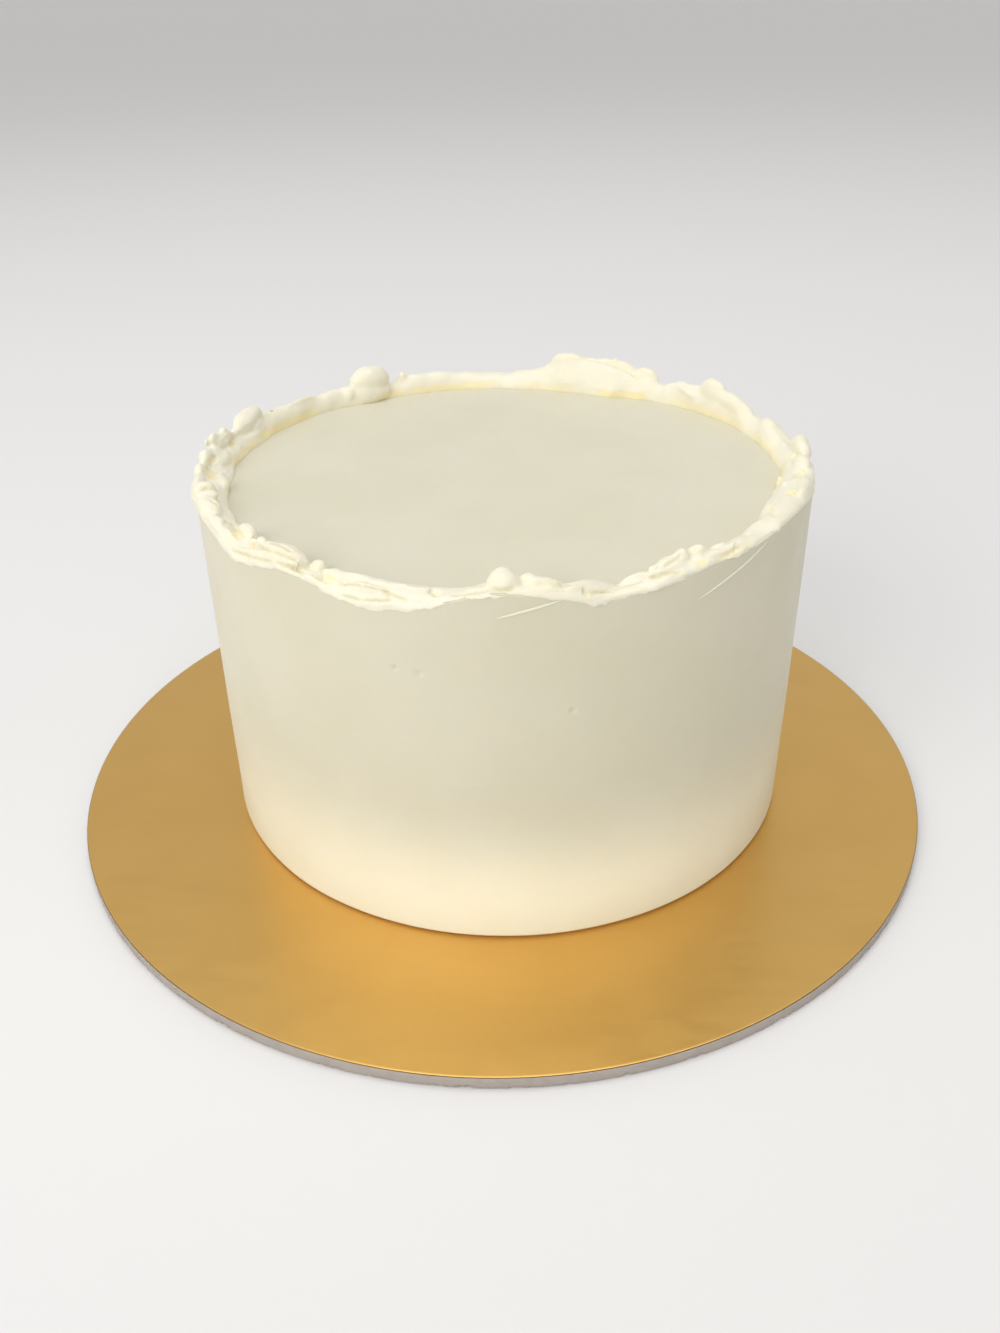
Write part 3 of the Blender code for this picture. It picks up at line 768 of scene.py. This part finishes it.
@dataclass
class TornRim:
    """The ragged ridge of buttercream round the top, with its folds and dabs."""

    # The plain ridge
    steps: int = 720
    sides: int = 40
    crest_radius: float = 96.0
    crest_wander: float = 0.9
    wander_turns: float = 3.0
    proud: float = 0.25
    outer_fullness: float = 0.7
    inner_fullness: float = 1.1
    inner_sink: float = 0.3
    root: float = 4.0
    root_taper: float = 2.5
    least_lip: float = 1.0
    # The folds, and the small ones that are drawn by seed
    fold_segments: int = 28
    fold_rings: int = 20
    small_folds: int = 26
    small_seed: int = 8
    small_length: Pair = (3.5, 10.0)
    small_width: Pair = (0.8, 1.6)
    small_depth: Pair = (0.7, 1.3)
    small_turn: Pair = (48.0, 165.0)
    small_slant: Pair = (-1.0, 1.0)
    # The skin: sizes and reaches of its unevenness, and the fine ridges drawn along it
    sway: Pair = (9.0, 0.9)
    ruffle: Pair = (3.6, 0.35)
    tear: Pair = (1.7, 0.10)
    voxel: float = 0.47
    smoothings: int = 2
    calming: int = 10
    drag_length: float = 9.0
    drag_width: float = 1.5
    drag_depth: float = 0.26
    drag_sink: float = 0.6
    drag_slant: float = 1.6
    drag_slant_size: float = 11.0
    ceiling_gap: float = 0.05
    # The creases, their painted yellow glow and their painted shade lines
    crease_reach: float = 3.0
    crease_ends: int = 6
    least_points: int = 9
    fine_width: float = 0.65
    shade_line_share: float = 0.5
    hollow_reach: int = 30
    hollow_painted_glow: float = 0.35
    hollow_range: Pair = (0.05, 0.6)
    joint_painted_glow: float = 0.3
    joint_height: float = 0.9
    # The lower edge, and what lies hidden in the cake
    edge_wander: float = 0.7
    edge_size: float = 2.4
    edge_lip: float = 0.5
    edge_slope: float = 1.4
    edge_sink: float = 0.4
    hidden_share: float = 0.08
    crest: Stops = (
        (0, 120.4), (6, 117.6), (10, 119.4), (14, 120.8), (21, 119.8), (26, 121.2), (31, 122.8),
        (36, 123.8), (40, 123.2), (44, 122.2), (47, 122.0), (49.8, 119.8), (53, 122.2),
        (58, 123.2), (64, 125.6), (70, 126.6), (74, 127.0), (78, 124.0), (81, 121.2),
        (84, 120.2), (89, 119.0), (94, 119.5), (100, 120.5), (106, 121.4), (112, 121.0),
        (116.8, 118.9), (120, 119.4), (129, 120.2), (134, 120.6), (140, 120.5), (146, 121.2),
        (152, 120.6), (158, 119.8), (168, 119.2), (176, 119.4), (184, 118.4), (195, 118.8),
        (205, 118.2), (215, 117.4), (221, 116.8), (225, 118.4), (231, 119.0), (235, 116.4),
        (239, 115.4), (244, 116.8), (251, 117.4), (257, 117.0), (260, 116.8), (264, 117.8),
        (267, 119.0), (272, 119.0), (277, 118.2), (281, 118.0), (284, 117.6), (288.5, 115.8),
        (292, 117.2), (297, 119.0), (304, 120.0), (309, 119.4), (316, 119.4), (321, 120.8),
        (328, 121.4), (338, 121.6), (350, 121.0),
    )
    outer_toe: Stops = (
        (0, 117.0), (40, 116.5), (90, 116.0), (140, 116.0), (180, 114.5), (197, 114.6),
        (206, 116.2), (211, 114.4), (218, 112.0), (223, 113.4), (227, 114.8), (231.5, 116.4),
        (236, 116.4), (239, 114.4), (243, 112.9), (249, 111.2), (254, 111.9), (258, 113.8),
        (261, 115.6), (266, 117.6), (268.5, 118.4), (271, 117.6), (273.5, 117.1), (277, 116.2),
        (281, 115.5), (283, 113.6), (287, 113.8), (290, 115.0), (296, 115.8), (300, 116.7),
        (304.5, 117.8), (313, 118.0), (318, 118.7), (326, 119.5), (333, 119.2), (345, 118.0),
    )
    inner_toe: Stops = (
        (2, 90.6), (18, 91.5), (26, 92.5), (44, 92.6), (50, 91.8), (56, 90.0), (62, 87.5),
        (68, 87.2), (80, 89.2), (88, 90.0), (100, 91.6), (114, 91.6), (126, 91.0),
        (131, 92.2), (138, 92.8), (145, 91.6), (164, 90.8), (176, 91.0), (181, 89.8),
        (187, 90.0), (208, 90.8), (300, 90.0), (325, 89.4), (330, 87.8), (335, 86.8),
        (340, 87.4), (346, 89.2), (352, 90.3),
    )
    ragged: Stops = (
        (0, 0.35), (20, 0.15), (60, 0.2), (90, 0.05), (110, 0.05), (140, 0.05), (160, 0.2),
        (172, 0.7), (182, 0.5), (200, 0.35), (215, 0.9), (235, 1.0), (243, 0.6), (256, 0.6),
        (275, 0.6), (300, 1.0), (312, 0.6), (330, 0.2), (342, 0.5),
    )

    def toe(self, angles: np.ndarray) -> np.ndarray:
        """Return the height of the rim's lower edge, which stays under its crest."""
        highest = between(self.crest, angles) - self.least_lip
        return np.minimum(between(self.outer_toe, angles), highest)

    def section(self, angles: np.ndarray, turns: np.ndarray) -> tuple[np.ndarray, np.ndarray]:
        """Return radii and heights on the ridge's section.

        Args:
            angles: Where round the cake, in degrees.
            turns: Where round the section, in degrees, 0 outwards and 90 up.

        Returns:
            The radii and the heights.
        """
        around = np.radians(angles)
        track = [self.wander_turns * np.cos(around), self.wander_turns * np.sin(around), 0 * around]
        middle = self.crest_radius + self.crest_wander * noise_at(np.stack(track, axis=-1))
        crest = between(self.crest, angles)
        outwards = np.cos(np.radians(turns))
        upwards = np.sin(np.radians(turns))
        outer_span = CAKE.radius + self.proud - middle
        outer = middle + outer_span * np.maximum(outwards, 0.0) ** self.outer_fullness
        outer -= self.root_taper * np.maximum(-upwards, 0.0)
        inner_span = middle - between(self.inner_toe, angles)
        inner = middle - inner_span * np.maximum(-outwards, 0.0) ** self.inner_fullness
        radii = np.where(outwards > 0, outer, inner)
        toes = np.where(outwards > 0, self.toe(angles), CAKE.top - self.inner_sink)
        above = toes + np.maximum(crest - toes, 0.0) * upwards
        below = toes + self.root * upwards
        return radii, np.where(upwards > 0, above, below)

    def ridge(self) -> bpy.types.Object:
        """Make the plain ridge from a torus whose section changes with the angle."""
        bpy.ops.object.select_all(action="DESELECT")
        bpy.ops.mesh.primitive_torus_add(
            major_segments=self.steps, minor_segments=self.sides,
            major_radius=self.crest_radius, minor_radius=self.root)
        ridge = bpy.context.object
        points = read_points(ridge)
        around = np.hypot(points[:, 0], points[:, 1])
        angles = np.degrees(np.arctan2(points[:, 1], points[:, 0]))
        turns = np.degrees(np.arctan2(points[:, 2], around - self.crest_radius))
        write_points(ridge, place(angles, *self.section(angles, turns)))
        return ridge

    def fold(self, fold: Fold) -> bpy.types.Object:
        """Make one fold from a sphere, drawn out along the rim and bent round it."""
        bpy.ops.mesh.primitive_uv_sphere_add(
            segments=self.fold_segments, ring_count=self.fold_rings, radius=1.0)
        thing = bpy.context.object
        across, upwards, along = read_points(thing).T
        tilt = math.radians(fold.tilt)
        outwards = fold.width * across
        lifted = fold.depth * upwards
        shift = outwards * math.cos(tilt) - lifted * math.sin(tilt)
        lift = outwards * math.sin(tilt) + lifted * math.cos(tilt)
        angles = fold.angle + np.degrees(along * fold.length / fold.radius)
        radii = fold.radius + shift + fold.drift * along
        write_points(thing, place(angles, radii, fold.height + lift + fold.rise * along))
        return thing

    def drawn_folds(self) -> list[Fold]:
        """Return the small torn folds, drawn by seed and kept where the rim is ragged."""
        draw = random.Random(self.small_seed)
        folds: list[Fold] = []
        while len(folds) < self.small_folds:
            angle = draw.uniform(0.0, 360.0)
            chance = draw.random()
            turn, length, width, depth, rise, drift = (
                draw.uniform(*limits) for limits in (
                    self.small_turn, self.small_length, self.small_width,
                    self.small_depth, self.small_slant, self.small_slant))
            if chance > float(between(self.ragged, np.array(angle))):
                continue
            radius, height = self.section(np.array([angle]), np.array([turn]))
            folds.append(Fold(angle, float(radius[0]), float(height[0]), length, width, depth,
                              turn - 90.0, rise, drift))
        return folds

    def uneven(self, points: np.ndarray) -> np.ndarray:
        """Return points moved by the slow sway, the quicker ruffle and the finest tears."""
        moved = points.copy()
        for size, reach in (self.sway, self.ruffle, self.tear):
            moved += noise_vectors(points / size) * reach
        return moved

    def calmed(self, rim: bpy.types.Object) -> np.ndarray:
        """Return the vertices smoothed further where the rim isn't ragged."""
        points = read_points(rim)
        calm = 1.0 - between(self.ragged, locate(points)[0])
        smoothed = spread(read_edges(rim), points, self.calming)
        return points + (smoothed - points) * calm[:, None]

    def dragged(self, points: np.ndarray) -> np.ndarray:
        """Return the relief of fine ridges drawn along the rim, in millimetres."""
        angles, radii, heights = locate(points)
        along = np.radians(angles) * CAKE.radius
        slant = self.drag_slant * noise_at(points / self.drag_slant_size)
        lines = np.stack([along / self.drag_length, radii / self.drag_width + slant,
                          heights / self.drag_width], axis=-1)
        ridged = 1.0 - 2.0 * np.abs(noise_at(lines))
        return self.drag_depth * (ridged - self.drag_sink) * between(self.ragged, angles)

    def line(self, points: np.ndarray, crease: Crease) -> np.ndarray:
        """Return points along a crease, each moved onto the nearest of the rim's vertices."""
        count = max(self.least_points, int(4.0 * crease.length / crease.width))
        shares = np.linspace(-1.0, 1.0, count)
        angles = crease.angle + np.degrees(shares * crease.length / crease.radius)
        line = place(angles, crease.radius + crease.drift * shares,
                     crease.height + crease.rise * shares)
        near = points[self.boxed(points, line, self.crease_reach)]
        if len(near):
            line = near[np.linalg.norm(near[:, None] - line[None], axis=2).argmin(axis=0)]
        line[1:-1] = (line[:-2] + 2.0 * line[1:-1] + line[2:]) / 4.0
        return line

    def boxed(self, points: np.ndarray, line: np.ndarray, reach: float) -> np.ndarray:
        """Return which points lie in the box round a line, with so much reach about it."""
        low = line.min(axis=0) - reach
        high = line.max(axis=0) + reach
        return ((points > low) & (points < high)).all(axis=1)

    def nearness(self, points: np.ndarray, crease: Crease) -> np.ndarray:
        """Return how near points are to a crease, from 0 far away to 1 on it."""
        line = self.line(points, crease)
        inside = self.boxed(points, line, 3.0 * crease.width)
        away = np.linalg.norm(points[inside][:, None] - line[None], axis=2)
        share = 2.0 * away.argmin(axis=1) / (len(line) - 1) - 1.0
        fading = 1.0 - share ** self.crease_ends
        near = np.zeros(len(points))
        near[inside] = np.exp(-(away.min(axis=1) / crease.width) ** 2) * fading
        return near

    def tucked(self, points: np.ndarray) -> np.ndarray:
        """Return points drawn in behind the side where they lie below the rim's lower edge."""
        angles, radii, heights = locate(points)
        edge = self.toe(angles) + self.edge_wander * noise_at(points / self.edge_size)
        above = heights - edge + self.edge_lip
        allowed = CAKE.radius - self.edge_sink + np.maximum(above, 0.0) * self.edge_slope
        return moved_outwards(points, angles, np.minimum(radii, allowed) - radii)

    def hidden(self, points: np.ndarray) -> np.ndarray:
        """Return which points lie inside the cake, below its top or behind its side."""
        angles, radii, heights = locate(points)
        inside = (radii < CAKE.radius - 1.0) & (heights < CAKE.top - 0.6)
        below = (radii < CAKE.radius - 0.6) & (heights < self.toe(angles) - 2.0)
        return inside | below

    def painted_glow_shares(self, rim: bpy.types.Object, marks: Sequence[np.ndarray]) -> np.ndarray:
        """Return how strongly each vertex shows the painted yellow glow of light scattered in
        hollows, creases and the joint with the top, from 0 to 1.
        """
        edges = read_edges(rim)
        points = read_points(rim)
        normals = read_normals(rim)
        # Painted yellow glow of scattered light in the hollows of the skin, along the joint with
        # the top and in the listed creases
        sunk = ((spread(edges, points, self.hollow_reach) - points) * normals).sum(axis=1)
        hollow = self.hollow_painted_glow * smooth_share(sunk, *self.hollow_range)
        _, radii, heights = locate(points)
        joint = self.joint_painted_glow * np.exp(-((heights - CAKE.top) / self.joint_height) ** 2)
        painted_glow = np.maximum(hollow, joint * (radii < self.crest_radius))
        for crease, near in zip(CREASES, marks):
            painted_glow = np.maximum(painted_glow, crease.painted_glow * near)
        return np.clip(spread(edges, painted_glow, 2), 0.0, 1.0)

    def lines(self, marks: Sequence[np.ndarray]) -> np.ndarray:
        """Return how strongly each vertex shows the painted shade along the fine lines pressed
        between folds, from 0 to 1.
        """
        shown = np.zeros(len(marks[0]))
        for crease, near in zip(CREASES, marks):
            if crease.depth > 0.0 and crease.width < self.fine_width:
                shown = np.maximum(shown, self.shade_line_share * near)
        return shown

    def crumbs(self, points: np.ndarray) -> np.ndarray:
        """Return 1 on the brown crumbs and 0 elsewhere."""
        marks = np.zeros(len(points))
        for angle, radius, height, size in CRUMBS:
            middle = place(np.array(angle), np.array(radius), np.array(height))
            away = np.linalg.norm(points - middle, axis=1)
            marks = np.maximum(marks, np.exp(-(away / size) ** 2))
        return marks

    def skin(self) -> bpy.types.Object:
        """Fuse the ridge and the folds into one skin and smooth it."""
        ridge = self.ridge()
        folds = [self.fold(fold) for fold in (*FOLDS, *self.drawn_folds())]
        activate(ridge, folds)
        bpy.ops.object.join()
        write_points(ridge, self.uneven(read_points(ridge)))
        apply_modifier(ridge, "REMESH", mode="VOXEL", voxel_size=self.voxel)
        apply_modifier(ridge, "SMOOTH", factor=0.5, iterations=self.smoothings)
        return ridge

    def carve(self, rim: bpy.types.Object) -> None:
        """Calm the skin, draw its fine ridges, press its creases and store the painted crease glow,
        the painted shade lines and the crumbs.
        """
        points = self.calmed(rim)
        write_points(rim, points)
        relief = self.dragged(points)
        marks = [self.nearness(points, crease) for crease in CREASES]
        for crease, near in zip(CREASES, marks):
            relief -= crease.depth * near
        points += read_normals(rim) * relief[:, None]
        points[:, 2] = np.minimum(points[:, 2], CAD_BOX[1][2] / MM - self.ceiling_gap)
        points = self.tucked(points)
        write_points(rim, points)
        # Store the painted yellow glow of scattered light
        set_attribute(rim, "crease", self.painted_glow_shares(rim, marks))
        # Store the painted shade along the fine lines
        set_attribute(rim, "line", self.lines(marks))
        set_attribute(rim, "crumb", self.crumbs(points))

    def build(self, material: bpy.types.Material, side: "IcedBody") -> bpy.types.Object:
        """Make the skin, carve it, thin what is hidden, add the streaks and finish it."""
        rim = self.skin()
        self.carve(rim)
        edit_chosen(rim, Part.VERT, self.hidden(read_points(rim)),
                    lambda: bpy.ops.mesh.decimate(ratio=self.hidden_share))
        streaks = [self.fold(streak) for streak in STREAKS]
        for streak in streaks:
            side.relief(streak)
            clear_attributes(streak)
        activate(rim, streaks)
        bpy.ops.object.join()
        return finish_piece(rim, "torn_rim", material, ["cake"])


@dataclass
class IcedBody:
    """The smooth scraped side and the flat recessed top."""

    columns: int = 560
    wall_rows: int = 92
    top_rows: int = 40
    top_radius: float = 94.0
    toe_overlap: float = 0.6
    slow_size: float = 34.0
    quick_size: float = 8.0
    band_turn: float = 40.0
    band_height: float = 3.0
    side_reach: Triple = (0.16, 0.03, 0.03)
    top_reach: Pair = (0.07, 0.02)
    pits: Sequence[tuple[float, float, float, float]] = (
        (252.0, 94.6, 0.8, 0.45), (256.0, 93.8, 1.1, 0.35), (280.0, 82.1, 0.9, 0.4),
    )
    pit_cuts: int = 3
    # Marks in the section for heights that follow the rim's lower edge
    wall: float = 1000.0
    shoulder: float = 2000.0
    ledge: float = 2001.0

    def half_section(self) -> np.ndarray:
        """Return the section as (radius, height), from the underside's middle to the top's.

        Rows of the side hold the share of its height added to the mark for the wall, and the
        two rows above it hold the marks for the shoulder and the ledge.
        """
        rounding = CAKE.base_rounding
        inset = CAKE.radius - rounding
        points = [(radius, CAKE.foot) for radius in np.linspace(0.0, inset, 6)]
        for turn in np.linspace(18.0, 90.0, 5):
            turned = math.radians(turn)
            points.append((CAKE.radius - rounding * (1.0 - math.sin(turned)),
                           CAKE.foot + rounding * (1.0 - math.cos(turned))))
        for share in np.linspace(0.0, 1.0, self.wall_rows)[1:]:
            points.append((CAKE.radius, self.wall + share))
        points += [(CAKE.radius - 0.8, self.shoulder), (CAKE.radius - 2.4, self.ledge)]
        points += [(self.top_radius + 1.0, CAKE.top - 1.0)]
        for share in np.linspace(0.0, 1.0, self.top_rows):
            points.append((self.top_radius * (1.0 - share ** 1.3), CAKE.top))
        return np.array(points)

    def placed(self, rim: TornRim, angles: np.ndarray, section: np.ndarray) -> np.ndarray:
        """Return the places of section points at angles, before the relief."""
        toes = rim.toe(angles) + self.toe_overlap
        start = CAKE.foot + CAKE.base_rounding
        marks = section[:, 1]
        on_wall = (marks >= self.wall) & (marks < self.shoulder)
        heights = np.where(on_wall, start + (marks - self.wall) * (toes - start), marks)
        heights = np.where(marks == self.shoulder, toes + 0.2, heights)
        heights = np.where(marks == self.ledge, toes - 0.6, heights)
        return place(angles, section[:, 0], heights)

    def relief(self, thing: bpy.types.Object) -> None:
        """Give the side and top the faint unevenness of a scraped surface, and its pits."""
        points = read_points(thing)
        angles, radii, heights = locate(points)
        side = smooth_share(radii, CAKE.radius - 1.0, CAKE.radius - 0.1)
        top = smooth_share(heights, CAKE.top - 0.2, CAKE.top) * (radii < self.top_radius + 0.5)
        slow = noise_at(points / self.slow_size)
        track = [angles / self.band_turn, angles * 0.0, heights / self.band_height]
        bands = noise_at(np.stack(track, axis=-1))
        quick = noise_at(points / self.quick_size)
        slow_reach, band_reach, quick_reach = self.side_reach
        push = side * (slow_reach * slow + band_reach * bands + quick_reach * quick)
        for angle, height, size, depth in self.pits:
            away = self.pit_distance(angles, heights, angle, height)
            push -= side * depth * np.exp(-((away / size) ** 2))
        moved = moved_outwards(points, angles, push)
        moved[:, 2] += top * (self.top_reach[0] * slow + self.top_reach[1] * quick)
        write_points(thing, moved)

    def pit_distance(self, angles: np.ndarray, heights: np.ndarray, angle: float,
                     height: float) -> np.ndarray:
        """Return how far places on the side are from a pit's middle."""
        return np.hypot(np.radians(angles % 360.0 - angle) * CAKE.radius, heights - height)

    def refine(self, thing: bpy.types.Object) -> None:
        """Subdivide the side round each pit."""
        angles, radii, heights = locate(
            np.array([tuple(face.center) for face in thing.data.polygons]))
        near = np.zeros(len(angles), bool)
        for angle, height, size, _ in self.pits:
            near |= self.pit_distance(angles, heights, angle, height) < 3.0 * size
        near &= radii > CAKE.radius - 0.5
        edit_chosen(thing, Part.FACE, near,
                    lambda: bpy.ops.mesh.subdivide(number_cuts=self.pit_cuts))

    def build(self, rim: TornRim, material: bpy.types.Material) -> bpy.types.Object:
        """Wrap the section into a body, give it its relief and finish it."""
        body = wrapped_grid(self.columns, self.half_section(),
                            lambda angles, section: self.placed(rim, angles, section))
        self.refine(body)
        self.relief(body)
        clear_attributes(body)
        return finish_piece(body, "iced_body", material, ["cake"])


@dataclass
class RoundBoard:
    """The board: a hardboard disc with a chipped lower edge, faced with gold foil."""

    columns: int = 1080
    edge_rows: int = 11
    corner: float = 0.15
    chip_depth: float = 0.9
    chip_height: float = 1.5
    chip_lift: float = 0.35
    chip_size: float = 4.5
    rough_size: float = 1.1
    wobble_turn: float = 5.0
    foil_rows: int = 34
    wave: float = 0.03
    wave_size: float = 28.0

    def on_board(self, angles: np.ndarray, section: np.ndarray) -> np.ndarray:
        """Return places on the board, whose middle is the origin."""
        turns = np.radians(angles)
        x = section[:, 0] * np.cos(turns)
        y = section[:, 0] * np.sin(turns)
        return np.stack([x, y, section[:, 1]], axis=-1)

    def hardboard(self, material: bpy.types.Material) -> bpy.types.Object:
        """Make the hardboard disc and fray its lower edge."""
        top = BOARD.thickness - BOARD.foil_thickness
        edge = BOARD.radius
        rings = (0.0, 60.0, 120.0, 146.0, 150.0, 151.0, 151.6, edge - self.corner)
        points = [(radius, 0.0) for radius in rings]
        points += [(edge, height) for height in np.linspace(0.2, top - self.corner, self.edge_rows)]
        points += [(radius, top) for radius in (edge - self.corner, edge - 1.5, 120.0, 0.0)]
        board = wrapped_grid(self.columns, np.array(points), self.on_board)
        places = read_points(board)
        radii = np.hypot(places[:, 0], places[:, 1])
        low = smooth_share(-places[:, 2], -self.chip_height, 0.0)
        rim = smooth_share(radii, edge - 2.0, edge - 0.3)
        rough = noise_at(places / self.rough_size)
        chips = smooth_share(noise_at(places / self.chip_size) + 0.5 * rough, 0.05, 0.6)
        along = np.degrees(np.arctan2(places[:, 1], places[:, 0]))
        track = [along / self.wobble_turn, along * 0, along * 0]
        wobble = smooth_share(noise_at(np.stack(track, axis=-1)), -0.3, 0.5)
        frayed = low * rim * (0.25 + 0.75 * wobble) * chips
        shrink = 1.0 - self.chip_depth * frayed / np.maximum(radii, 1.0)
        places[:, 0] *= shrink
        places[:, 1] *= shrink
        places[:, 2] += self.chip_lift * self.chip_height * frayed * (places[:, 2] < 1.0)
        write_points(board, places)
        set_attribute(board, "frayed", np.clip(low * rim * (0.3 + chips), 0.0, 1.0))
        return finish_piece(board, "hardboard_disc", material, ["board_core"])

    def foil(self, material: bpy.types.Material) -> bpy.types.Object:
        """Make the foil facing, with its edge turned down and faint waves."""
        low = BOARD.thickness - BOARD.foil_thickness
        high = BOARD.thickness
        edge = BOARD.radius - BOARD.foil_inset
        points = [(0.0, low), (120.0, low), (edge - 0.2, low), (edge, low + 0.06)]
        points += [(edge, high - 0.12), (edge - 0.05, high - 0.04), (edge - 0.18, high)]
        points += [(edge - 0.8, high)]
        points += [(radius, high) for radius in np.linspace(edge - 3.0, 0.0, self.foil_rows)]
        facing = wrapped_grid(self.columns // 2, np.array(points), self.on_board)
        places = read_points(facing)
        radii = np.hypot(places[:, 0], places[:, 1])
        face = smooth_share(places[:, 2], high - 0.02, high)
        face = face * smooth_share(-radii, -edge + 1.0, -edge + 6.0)
        waves = 0.5 + 0.5 * noise_at(places / self.wave_size)
        places[:, 2] -= face * self.wave * waves
        write_points(facing, places)
        # Store where the painted shade along the edge lies
        set_attribute(facing, "cut", smooth_share(radii, edge - 0.16, edge - 0.08))
        return finish_piece(facing, "foil_facing", material, ["board_foil"])


@dataclass(frozen=True)
class Viewpoint:
    """Where the picture is taken from, in millimetres and degrees."""

    place: Triple = (0.063, -356.6, 253.5)
    pitch: float = 30.625
    roll: float = -0.9375
    lens: float = 30.46
    sensor: float = 36.0
    sight: Pair = (0.01, 500.0)

    def build(self) -> None:
        """Set up the camera, level but for its small roll, and make it the scene's."""
        camera = bpy.data.cameras.new("camera")
        camera.sensor_fit = "VERTICAL"
        camera.sensor_height = self.sensor
        camera.sensor_width = self.sensor
        camera.lens = self.lens
        camera.clip_start, camera.clip_end = self.sight
        thing = bpy.data.objects.new("camera", camera)
        bpy.context.scene.collection.objects.link(thing)
        pitch = math.radians(self.pitch)
        roll = math.radians(self.roll)
        level = Vector((1.0, 0.0, 0.0))
        raised = Vector((0.0, math.sin(pitch), math.cos(pitch)))
        back = Vector((0.0, -math.cos(pitch), math.sin(pitch)))
        right = math.cos(roll) * level + math.sin(roll) * raised
        upright = -math.sin(roll) * level + math.cos(roll) * raised
        turn = Matrix((right, upright, back)).transposed().to_4x4()
        thing.matrix_world = Matrix.Translation(Vector(self.place) * MM) @ turn
        bpy.context.scene.camera = thing


@dataclass(frozen=True)
class SoftBox:
    """One soft light: where it hangs and looks, its width and height, power, colour, spread."""

    name: str
    place: Triple
    aim: Triple
    size: Pair
    power: float
    color: Triple = (1.0, 1.0, 1.0)
    spread: float = 180.0

    def build(self) -> None:
        """Hang the light."""
        light = bpy.data.lights.new(self.name, "AREA")
        light.shape = "RECTANGLE"
        light.size, light.size_y = self.size
        light.spread = math.radians(self.spread)
        light.energy = self.power
        light.color = self.color
        thing = bpy.data.objects.new(self.name, light)
        bpy.context.scene.collection.objects.link(thing)
        thing.location = self.place
        away = Vector(self.aim) - Vector(self.place)
        thing.rotation_euler = away.to_track_quat("-Z", "Y").to_euler()


@dataclass(frozen=True)
class Studio:
    """A plain pale floor, which rises far behind, and soft light from the front left."""

    air: Triple = (1.0, 1.0, 1.0)
    air_strength: float = 0.653
    floor_color: Triple = (0.78, 0.77, 0.76)
    floor_roughness: float = 0.8
    floor_size: float = 400.0
    floor_drop: float = 0.0002
    floor_rise: Triple = (0.0, 200.0, 16.0)
    boxes: Sequence[SoftBox] = (
        SoftBox("key", (-1.173, -1.501, 1.1), (0.0, 0.0, 0.06), (1.3, 1.3), 20.4),
        SoftBox("overhead", (0.0, 0.209, 2.391), (0.0, 0.0, 0.06), (1.5, 1.5), 15.9),
        SoftBox("low_strip", (0.0, -0.262, 0.020), (0.0, 0.0, 0.016), (0.40, 0.02), 0.0225,
                (1.0, 0.975, 0.98), spread=24.0),
    )

    def light(self) -> None:
        """Fill the air with soft light and hang the lights."""
        world = bpy.data.worlds.new("air")
        world.use_nodes = True
        background = world.node_tree.nodes["Background"]
        background.inputs["Color"].default_value = (*self.air, 1.0)
        background.inputs["Strength"].default_value = self.air_strength
        bpy.context.scene.world = world
        bpy.context.scene.view_settings.view_transform = "Standard"
        for box in self.boxes:
            box.build()

    def floor(self) -> None:
        """Lay the floor and draw its far edge back and up."""
        bpy.ops.object.select_all(action="DESELECT")
        bpy.ops.mesh.primitive_plane_add(
            size=self.floor_size, location=(0.0, 0.0, -self.floor_drop))
        floor = bpy.context.object
        floor.name = "floor"
        ends = read_points(floor)[read_edges(floor), 1]
        edit_chosen(floor, Part.EDGE, ends.min(axis=1) > 0.0,
                    lambda: bpy.ops.mesh.extrude_edges_move(
                        TRANSFORM_OT_translate={"value": self.floor_rise}))
        nodes = Nodes("pale_floor")
        nodes.set(Base_Color=(*self.floor_color, 1.0), Roughness=self.floor_roughness)
        floor.data.materials.append(nodes.material)


def main() -> None:
    """Build the camera, the cake and its board, and the studio, in that order."""
    logging.basicConfig(level=logging.INFO, format="%(message)s")
    noise.seed_set(NOISE_START)
    Viewpoint().build()
    rim = TornRim()
    body = IcedBody()
    # The rim's copy of the buttercream is painted lighter than the side's, standing in for the
    # brighter light that the rim catches
    torn = Buttercream("buttercream_torn", ivory=(0.848, 0.808, 0.655),
                       deep=(0.833, 0.788, 0.620), scatter_scale=1.3)
    rim.build(torn.material(), body)
    body.build(rim, Buttercream().material())
    board = RoundBoard()
    board.foil(GoldFoil().material())
    board.hardboard(PaintedHardboard().material())
    studio = Studio()
    studio.light()
    studio.floor()


if __name__ == "__main__":
    main()
